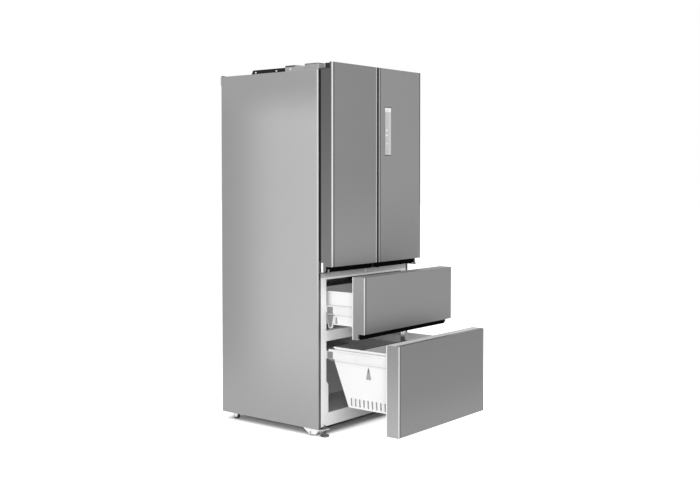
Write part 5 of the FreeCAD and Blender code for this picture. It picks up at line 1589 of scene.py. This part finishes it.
@dataclass
class FreezerDrawer(SubAssembly):
    """One of the two full-width freezer drawers.

    A recess is its middle behind the bin's front, its foot above the bin's, and its height.
    """

    level: Level
    steel: FrontSteel
    panel_tone: float = 0.52
    # Painted shade line along the upper panel's top edge.
    panel_top_shade: float = 0.15
    panel_top_span: Span = (-0.0015, -0.0008)
    pocket_rise: Span = (0.0275, 0.0265)
    pocket_depth: Span = (0.0365, 0.0360)
    bin_tone: float = 0.83
    # Painted shade on the outer walls where the bin passes into the cabinet, and painted black shade on its
    # back wall.
    shade_tone: float = 0.62
    shade_span: Span = (-0.030, 0.004)
    wall_span: Span = (0.0060, 0.0055)
    upper_back_span: Span = (-0.008, -0.007)
    upper_back_rise: Span = (-0.022, -0.018)
    lower_back_span: Span = (-0.010, -0.008)
    lower_back_drop: float = 0.040
    lower_line: tuple[Span, Span] = ((-0.0035, -0.0030), (0.0010, 0.0005))
    rail_tone: float = 0.78
    # Painted shade lines along the runners' upper and lower edges.
    rail_edge_shade: float = 0.42
    rail_edge_shade_span: Span = (0.0022, 0.0012)
    rim_width: float = 0.004
    recess_depth: float = 0.0013
    upper_recess: Point = (0.136, 0.005, 0.034)
    lower_recess: Point = (0.1375, -0.129, 0.059)
    # Grey pieces of painted shade in the wall recesses, darker towards the apex.
    wedge_slim: float = 0.23
    wedge_apex: float = 0.0012
    wedge_depth: Span = (-0.0004, 0.0005)
    wedge_tones: Span = (0.34, 0.06)
    wedge_rise: Span = (0.3, 0.9)

    @property
    def body(self) -> str:
        """The drawer's own body."""
        return f"{self.level}_drawer"

    def build(self) -> None:
        """Dresses the drawer's nodes and adds its seal and the small pieces on its runners and walls."""
        name = self.body
        self.dress(f"{name}_skin", self.steel.finish())
        self.dress(f"{name}_core", FOAM)
        self.panel()
        if self.level is Level.UPPER:
            self.dress(f"{name}_grip", GRIP_BLACK)
        self.bin()
        self.rails()
        self.wall_wedges()
        if self.level is Level.UPPER:
            self.slide_hooks()
        else:
            self.runner_tails()
        shell = Shell()
        gasket_ring(shell, f"{name}_gasket")
        self.add(shell, f"{name}_seal", GASKET, (f"{name}_gasket",))

    def panel(self) -> None:
        """Pale inner panel, black where it lines the upper drawer's finger pocket, and on the upper drawer a
        painted shade line along its top edge.
        """
        node = f"{self.body}_panel"
        low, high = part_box(f"{self.body}_skin")
        ramps = ()
        if self.level is Level.UPPER:
            ramps = (shade(NEAR_BLACK, near(Axis.Z, low.z, *self.pocket_rise),
                           near(Axis.Y, low.y, *self.pocket_depth)),
                     shade(self.panel_top_shade, near(Axis.Z, high.z, *self.panel_top_span)))
        self.dress(node, PALE_PLASTIC.shaded(f"{node}_pale", self.panel_tone, *ramps), edge=SHEET_EDGE)

    def bin(self) -> None:
        """White bin in painted shade where it passes into the cabinet, with painted black shade on its back
        wall: a band along the upper bin's top, a line below the lower bin's top.
        """
        node = f"{self.level}_bin"
        low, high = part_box(node)
        passing = near(Axis.Y, cabinet_front(), *self.shade_span)
        start, end = self.wall_span
        if self.level is Level.UPPER:
            back = (near(Axis.Y, high.y, *self.upper_back_span), near(Axis.Z, high.z, *self.upper_back_rise))
        else:
            brow = high.z - self.lower_back_drop
            back = (near(Axis.Y, high.y, *self.lower_back_span),
                    *(near(Axis.Z, brow, *edge) for edge in self.lower_line))
        # Painted shade on the outer walls inside the cabinet, and painted black shade on the back wall.
        self.dress(node, BIN_WHITE.shaded(
            f"{node}_white", self.bin_tone,
            shade(self.shade_tone, passing, near(Axis.X, low.x, start, end)),
            shade(self.shade_tone, passing, near(Axis.X, high.x, -start, -end)),
            shade(NEAR_BLACK, *back), roughness=0.4), edge=TRIM_EDGE)

    def rails(self) -> None:
        """White runners on the bin's sides, with painted shade as a grey line along their upper and lower
        edges.
        """
        node = f"{self.level}_inner_rails"
        low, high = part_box(node)
        start, end = self.rail_edge_shade_span
        self.dress(node, BIN_WHITE.shaded(
            f"{node}_white", self.rail_tone,
            shade(self.rail_edge_shade, near(Axis.Z, high.z, -start, -end)),
            shade(self.rail_edge_shade, near(Axis.Z, low.z, start, end)), roughness=0.4), edge=SHEET_EDGE)

    def wall_wedges(self) -> None:
        """Thin grey pieces in the wedge recesses of the bin's walls, in painted shade that is dark at the
        apex and lighter below.
        """
        low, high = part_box(f"{self.level}_bin")
        setback, rise, height = self.upper_recess if self.level is Level.UPPER else self.lower_recess
        middle = low.y + setback
        foot = rise + (low.z if self.level is Level.UPPER else high.z)
        half, apex, top = height * self.wedge_slim, self.wedge_apex, foot + height
        outline = np.array([(middle - half, foot), (middle + half, foot), (middle + apex, top),
                            (middle - apex, top)])
        shell = Shell()
        for side in Side:
            wall = side.outward * (high.x - self.rim_width - self.recess_depth)
            span = tuple(wall + side.outward * step for step in self.wedge_depth)
            shell.add_tube(bar(Axis.X, outline, span))
        tone, dark = self.wedge_tones
        start, end = self.wedge_rise
        darker = shade(dark, near(Axis.Z, foot, height * start, height * end))
        self.add(shell, f"{self.level}_bin_triangles",
                 MID_PLASTIC.shaded(f"{self.level}_recess_shade", tone, darker, bump=0.02))

    def slide_hooks(self) -> None:
        """A grey hook with a white edge under each runner, where the bin meets the cabinet at rest.

        The hook's outline narrows downwards to a toe that is half a circle; the white edge is the same
        outline, drawn larger.
        """
        hook = SlideHook()
        top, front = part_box("upper_inner_rails")[0].z - hook.sunk, cabinet_front()
        turn = np.linspace(-math.pi / 2, math.pi / 2, hook.toe_steps)
        for grow, outer, name, finish in ((0.0, hook.outer, "slide_hooks", CATCH_GREY),
                                          (hook.edge, hook.edge_outer, "slide_hook_edges", BIN_WHITE)):
            toe = front + hook.toe_place + (hook.toe_radius + grow) * np.sin(turn)
            toe_z = hook.toe_height - (hook.toe_radius + grow) * np.cos(turn)
            outline = np.stack([np.concatenate([[front + hook.low - grow], toe, [front + hook.high]]),
                                np.concatenate([[top], toe_z, [top]])], axis=1)
            shell = Shell()
            for side in Side:
                span = (side.outward * (outer - hook.thickness), side.outward * outer)
                shell.add_tube(bar(Axis.X, outline, span))
            self.add(shell, name, finish)

    def runner_tails(self) -> None:
        """A rounded grey block with a white cap behind each runner of the lower drawer."""
        low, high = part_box("lower_inner_rails")
        tail = RunnerTail()
        along = (high.y - tail.overlap, high.y + tail.length)
        top = high.z - tail.inset
        cap = top - tail.cap_height
        for foot, walls, name, finish in ((low.z + tail.inset, tail.walls, "runner_tails", CATCH_GREY),
                                          (cap, tail.cap_walls, "runner_tail_caps", BIN_WHITE)):
            outline = rounded_outline(along, (foot, top), tail.corner)
            shell = Shell()
            for side in Side:
                shell.add_tube(bar(Axis.X, outline, tuple(side.outward * wall for wall in walls)))
            self.add(shell, name, finish)


@dataclass
class SlideChannels(SubAssembly):
    """The middle channels of one drawer's slides."""

    level: Level
    tone: float = 0.78
    lip_tone: float = 0.22
    lip_rise: Span = (0.0045, 0.0035)
    lip_span: Span = (-0.041, -0.039)
    plate_span: Span = (-0.038, -0.004)
    plate_inset: float = 0.001
    plate_corner: float = 0.002
    plate_thickness: float = 0.0003

    @property
    def body(self) -> str:
        """The channels' own body."""
        return f"{self.level}_middle_rails"

    def build(self) -> None:
        """Dresses the channels and adds grey plates on their webs, where they leave the cabinet at rest."""
        low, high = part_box(self.body)
        front = cabinet_front()
        ramps = ()
        if self.level is Level.UPPER:
            ramps = (shade(self.lip_tone, near(Axis.Z, low.z, *self.lip_rise),
                           near(Axis.Y, front, *self.lip_span)),)
        self.dress(self.body, BIN_WHITE.shaded(f"{self.body}_white", self.tone, *ramps, roughness=0.4))
        outline = rounded_outline(tuple(front + step for step in self.plate_span),
                                  (low.z + self.plate_inset, high.z - self.plate_inset), self.plate_corner)
        shell = Shell()
        for side, web in ((Side.LEFT, low.x), (Side.RIGHT, high.x)):
            shell.add_tube(bar(Axis.X, outline, (web, web + side.outward * self.plate_thickness)))
        self.add(shell, f"{self.level}_channel_plates", CATCH_GREY)


@dataclass
class CentreBar(SubAssembly):
    """The folding bar on the left door."""

    @property
    def body(self) -> str:
        """The bar's own body."""
        return "flip_mullion"

    def build(self) -> None:
        """Dresses the bar."""
        self.dress("flip_mullion", MID_PLASTIC, edge=ROUND_EDGE)


@dataclass
class LevellingFoot(SubAssembly):
    """A knurled foot on a threaded stud."""

    side: Side
    pad_radii: Span = (0.9, 0.94)
    pad_height: float = 0.001
    disc_height: float = 0.009
    disc_radii: tuple[float, ...] = (0.93, 0.98, 0.98, 0.9)
    disc_bevel: float = 0.003
    knurls: int = 36
    knurl_steps: int = 4
    knurl_depth: float = 0.018
    boss_radii: Point = (0.011, 0.011, 0.009)
    boss_rows: Point = (-0.002, 0.0, 0.003)
    boss_sides: int = 6
    thread_pitch: float = 0.0015
    thread_depth: float = 0.0006
    thread_rows: int = 6
    thread_columns: int = 24
    stud_radius: float = 0.005

    @property
    def body(self) -> str:
        """The foot's own body."""
        return f"levelling_foot_{self.side}"

    def build(self) -> None:
        """Builds the disc by turning its profile, and the stud with a helix in its radius.

        The stud's radius at an angle and height is its outer radius less a cosine of the angle minus the
        turns climbed so far.
        """
        low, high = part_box(self.body)
        centre = ((low.x + high.x) / 2, (low.y + high.y) / 2)
        radius = (high.x - low.x) / 2
        pad, rim = low.z + self.pad_height, low.z + self.disc_height
        shell = Shell()
        shell.add_tube(lathe(Axis.Z, centre, radius * np.array(self.pad_radii), np.array([low.z, pad])))
        rows = np.array([pad, pad + self.pad_height, rim - self.disc_bevel, rim - self.pad_height])
        shell.add_tube(lathe(Axis.Z, centre, radius * np.array(self.disc_radii), rows,
                             segments=self.knurls * self.knurl_steps, ripple=(self.knurl_depth, self.knurls)))
        shell.add_tube(lathe(Axis.Z, centre, np.array(self.boss_radii), rim + np.array(self.boss_rows),
                             segments=self.boss_sides))
        angle = np.linspace(0, 2 * math.pi, self.thread_columns, endpoint=False)[None, :]
        z = np.arange(rim, high.z, self.thread_pitch / self.thread_rows)[:, None]
        wave = np.cos(angle - 2 * math.pi * z / self.thread_pitch)
        r = self.stud_radius - self.thread_depth / 2 * (1 - wave)
        shell.add_tube(turned(Axis.Z, centre[0] + r * np.cos(angle), centre[1] + r * np.sin(angle), z))
        self.add(shell, f"knurled_foot_{self.side}", FOOT_GREY, (self.body,))


@dataclass
class Roller(SubAssembly):
    """A small nylon wheel under the cabinet."""

    end: End
    side: Side

    @property
    def body(self) -> str:
        """The wheel's own body."""
        return f"{self.end}_roller_{self.side}"

    def build(self) -> None:
        """Dresses the wheel: nylon at the front, and at the rear a near-black copy of it in painted shade."""
        self.dress(self.body, NYLON if self.end is End.FRONT else SHADED_NYLON)


@dataclass(frozen=True)
class Lamp:
    """One soft rectangular lamp, aimed at a point."""

    name: str
    place: Point
    target: Point
    size: Span
    power: float

    def build(self) -> None:
        """Makes the lamp."""
        light = bpy.data.lights.new(self.name, "AREA")
        light.shape = "RECTANGLE"
        light.size, light.size_y = self.size
        light.energy = self.power
        made = bpy.data.objects.new(self.name, light)
        made.location = self.place
        made.rotation_euler = (Vector(self.target) - Vector(self.place)).to_track_quat("-Z", "Y").to_euler()
        bpy.context.scene.collection.objects.link(made)


@dataclass
class Studio:
    """Floor, white surround, lamps and camera. The camera's angles are in degrees."""

    floor_half: float = 30.0
    floor_places: int = 9
    floor_roughness: float = 0.9
    floor_tone: float = 0.85
    floor_lift: float = 0.80
    lift_inset: float = 0.05
    lift_reach: float = 0.08
    surround: float = 0.50
    camera_place: Point = (-3.9230, -3.1349, 1.2087)
    camera_turn: float = -51.314
    camera_dip: float = 1.843
    lens: float = 52.996
    sensor: float = 36.0
    drop: float = -0.050
    far: float = 200.0
    lamps: tuple[Lamp, ...] = (
        Lamp("overhead", (-0.6, -1.2, 4.2), (0.0, 0.0, 0.8), (3.5, 3.5), 90),
        Lamp("left_side", (-4.5, 0.8, 2.2), (0.0, 0.1, 0.9), (2.5, 2.5), 30),
        Lamp("front", (1.5, -5.0, 2.0), (0.0, 0.0, 0.9), (2.5, 2.5), 35),
        Lamp("front_left", (-4.9, -3.9, 1.5), (0.0, -0.1, 0.6), (2.0, 2.0), 150),
    )

    def build(self) -> None:
        """Makes the stage."""
        self.floor()
        self.sky()
        for lamp in self.lamps:
            lamp.build()
        self.camera()
        bpy.context.scene.view_settings.view_transform = "Standard"

    def seen_directly(self, tree: bpy.types.NodeTree) -> bpy.types.NodeSocket:
        """A mask that is 1 for camera, glossy and transmission rays.

        Args:
            tree: the material's or world's node tree.

        Returns:
            The mask's socket.
        """
        path = tree.nodes.new("ShaderNodeLightPath")
        either = tree.nodes.new("ShaderNodeMath")
        either.operation = "MAXIMUM"
        tree.links.new(path.outputs["Is Camera Ray"], either.inputs[0])
        tree.links.new(path.outputs["Is Glossy Ray"], either.inputs[1])
        every = tree.nodes.new("ShaderNodeMath")
        every.operation = "MAXIMUM"
        tree.links.new(either.outputs[0], every.inputs[0])
        tree.links.new(path.outputs["Is Transmission Ray"], every.inputs[1])
        return every.outputs[0]

    def floor(self) -> None:
        """A wide pale floor, lifted to white where it is seen directly, that keeps the shadow at the cabinet.

        The lift grows with the distance from the cabinet's footprint: the length of what the place along each
        axis exceeds half its size by.
        """
        shell = Shell()
        places = np.linspace(-self.floor_half, self.floor_half, self.floor_places)
        x, y = np.meshgrid(places, places)
        shell.add_sheet(turned(Axis.Z, x, y, np.zeros_like(x)))
        made = shell.object("floor")
        material = bpy.data.materials.new("pale_floor")
        material.use_nodes = True
        tree = material.node_tree
        shader = tree.nodes["Principled BSDF"]
        shader.inputs["Base Color"].default_value = (*grey(self.floor_tone), 1)
        shader.inputs["Roughness"].default_value = self.floor_roughness
        shader.inputs["Specular IOR Level"].default_value = 0.0
        place = tree.nodes.new("ShaderNodeTexCoord").outputs["Object"]
        low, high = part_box("side_panel_left")
        middle, half = (low.y + high.y) / 2, (high.y - low.y) / 2 - self.lift_inset
        steps = (("SUBTRACT", (0.0, middle, 0.0)), ("ABSOLUTE", (0.0, 0.0, 0.0)),
                 ("SUBTRACT", (-low.x - self.lift_inset, half, 1.0)), ("MAXIMUM", (0.0, 0.0, 0.0)),
                 ("LENGTH", (0.0, 0.0, 0.0)))
        for operation, values in steps:
            step = tree.nodes.new("ShaderNodeVectorMath")
            step.operation = operation
            step.inputs[1].default_value = values
            tree.links.new(place, step.inputs[0])
            place = step.outputs["Value" if operation == "LENGTH" else "Vector"]
        reach = tree.nodes.new("ShaderNodeMapRange")
        reach.interpolation_type = "SMOOTHSTEP"
        reach.inputs["From Max"].default_value = self.lift_reach
        reach.inputs["To Max"].default_value = self.floor_lift
        tree.links.new(place, reach.inputs["Value"])
        lift = tree.nodes.new("ShaderNodeMath")
        lift.operation = "MULTIPLY"
        tree.links.new(reach.outputs["Result"], lift.inputs[1])
        tree.links.new(self.seen_directly(tree), lift.inputs[0])
        shader.inputs["Emission Color"].default_value = (1, 1, 1, 1)
        tree.links.new(lift.outputs[0], shader.inputs["Emission Strength"])
        made.data.materials.append(material)

    def sky(self) -> None:
        """White surround where it is seen directly, and a softer one for light."""
        world = bpy.data.worlds.new("surround")
        bpy.context.scene.world = world
        world.use_nodes = True
        tree = world.node_tree
        background = tree.nodes["Background"]
        background.inputs["Color"].default_value = (1, 1, 1, 1)
        strength = tree.nodes.new("ShaderNodeMapRange")
        strength.inputs["To Min"].default_value = self.surround
        strength.inputs["To Max"].default_value = 1.0
        tree.links.new(self.seen_directly(tree), strength.inputs["Value"])
        tree.links.new(strength.outputs["Result"], background.inputs["Strength"])

    def camera(self) -> None:
        """Camera at the photograph's place, turn and lens, dipped a little."""
        data = bpy.data.cameras.new("camera")
        data.lens = self.lens
        data.sensor_width = self.sensor
        data.sensor_fit = "HORIZONTAL"
        data.shift_y = self.drop
        data.clip_end = self.far
        made = bpy.data.objects.new("camera", data)
        made.location = self.camera_place
        made.rotation_euler = (math.radians(90 - self.camera_dip), 0, math.radians(self.camera_turn))
        bpy.context.scene.collection.objects.link(made)
        bpy.context.scene.camera = made


def main() -> None:
    """Builds the sub-assemblies and the studio in order."""
    logging.basicConfig(level=logging.INFO, format="%(name)s: %(message)s")
    Cabinet().build()
    TopCovers().build()
    MachineRoom().build()
    FridgeInside().build()
    # The door fronts' tones below are painted light and shade on their steel.
    left = FrontSteel("left_door_steel", "left_door_skin", face=0.185, face_low=0.225, side=0.15,
                      side_high=0.085, rear_edge=0.003, right_highlight=0.50, right_shade_line=0.008, bend=0.0115,
                      meeting_edge=Side.RIGHT)
    right = FrontSteel("right_door_steel", "right_door_skin", face=0.225, face_low=0.185, side=0.03,
                       side_high=0.03, bright=0.44, meeting_edge=Side.LEFT)
    for side, steel in ((Side.LEFT, left), (Side.RIGHT, right)):
        HingedDoor(side, steel).build()
        LevellingFoot(side).build()
        for end in End:
            Roller(end, side).build()
    CentreBar().build()
    TouchDisplay().build()
    # The drawer fronts' tones below are painted light and shade on their steel.
    upper = FrontSteel("upper_drawer_steel", "upper_drawer_skin", face=0.20, face_low=0.17, side=0.20,
                       side_high=0.26, rear_edge=0.70)
    lower = FrontSteel("lower_drawer_steel", "lower_drawer_skin", face=0.145, face_low=0.175, side=0.30,
                       side_high=0.22, rear_edge=0.70)
    for level, steel in ((Level.UPPER, upper), (Level.LOWER, lower)):
        FreezerDrawer(level, steel).build()
        SlideChannels(level).build()
    Studio().build()


if __name__ == "__main__":
    main()
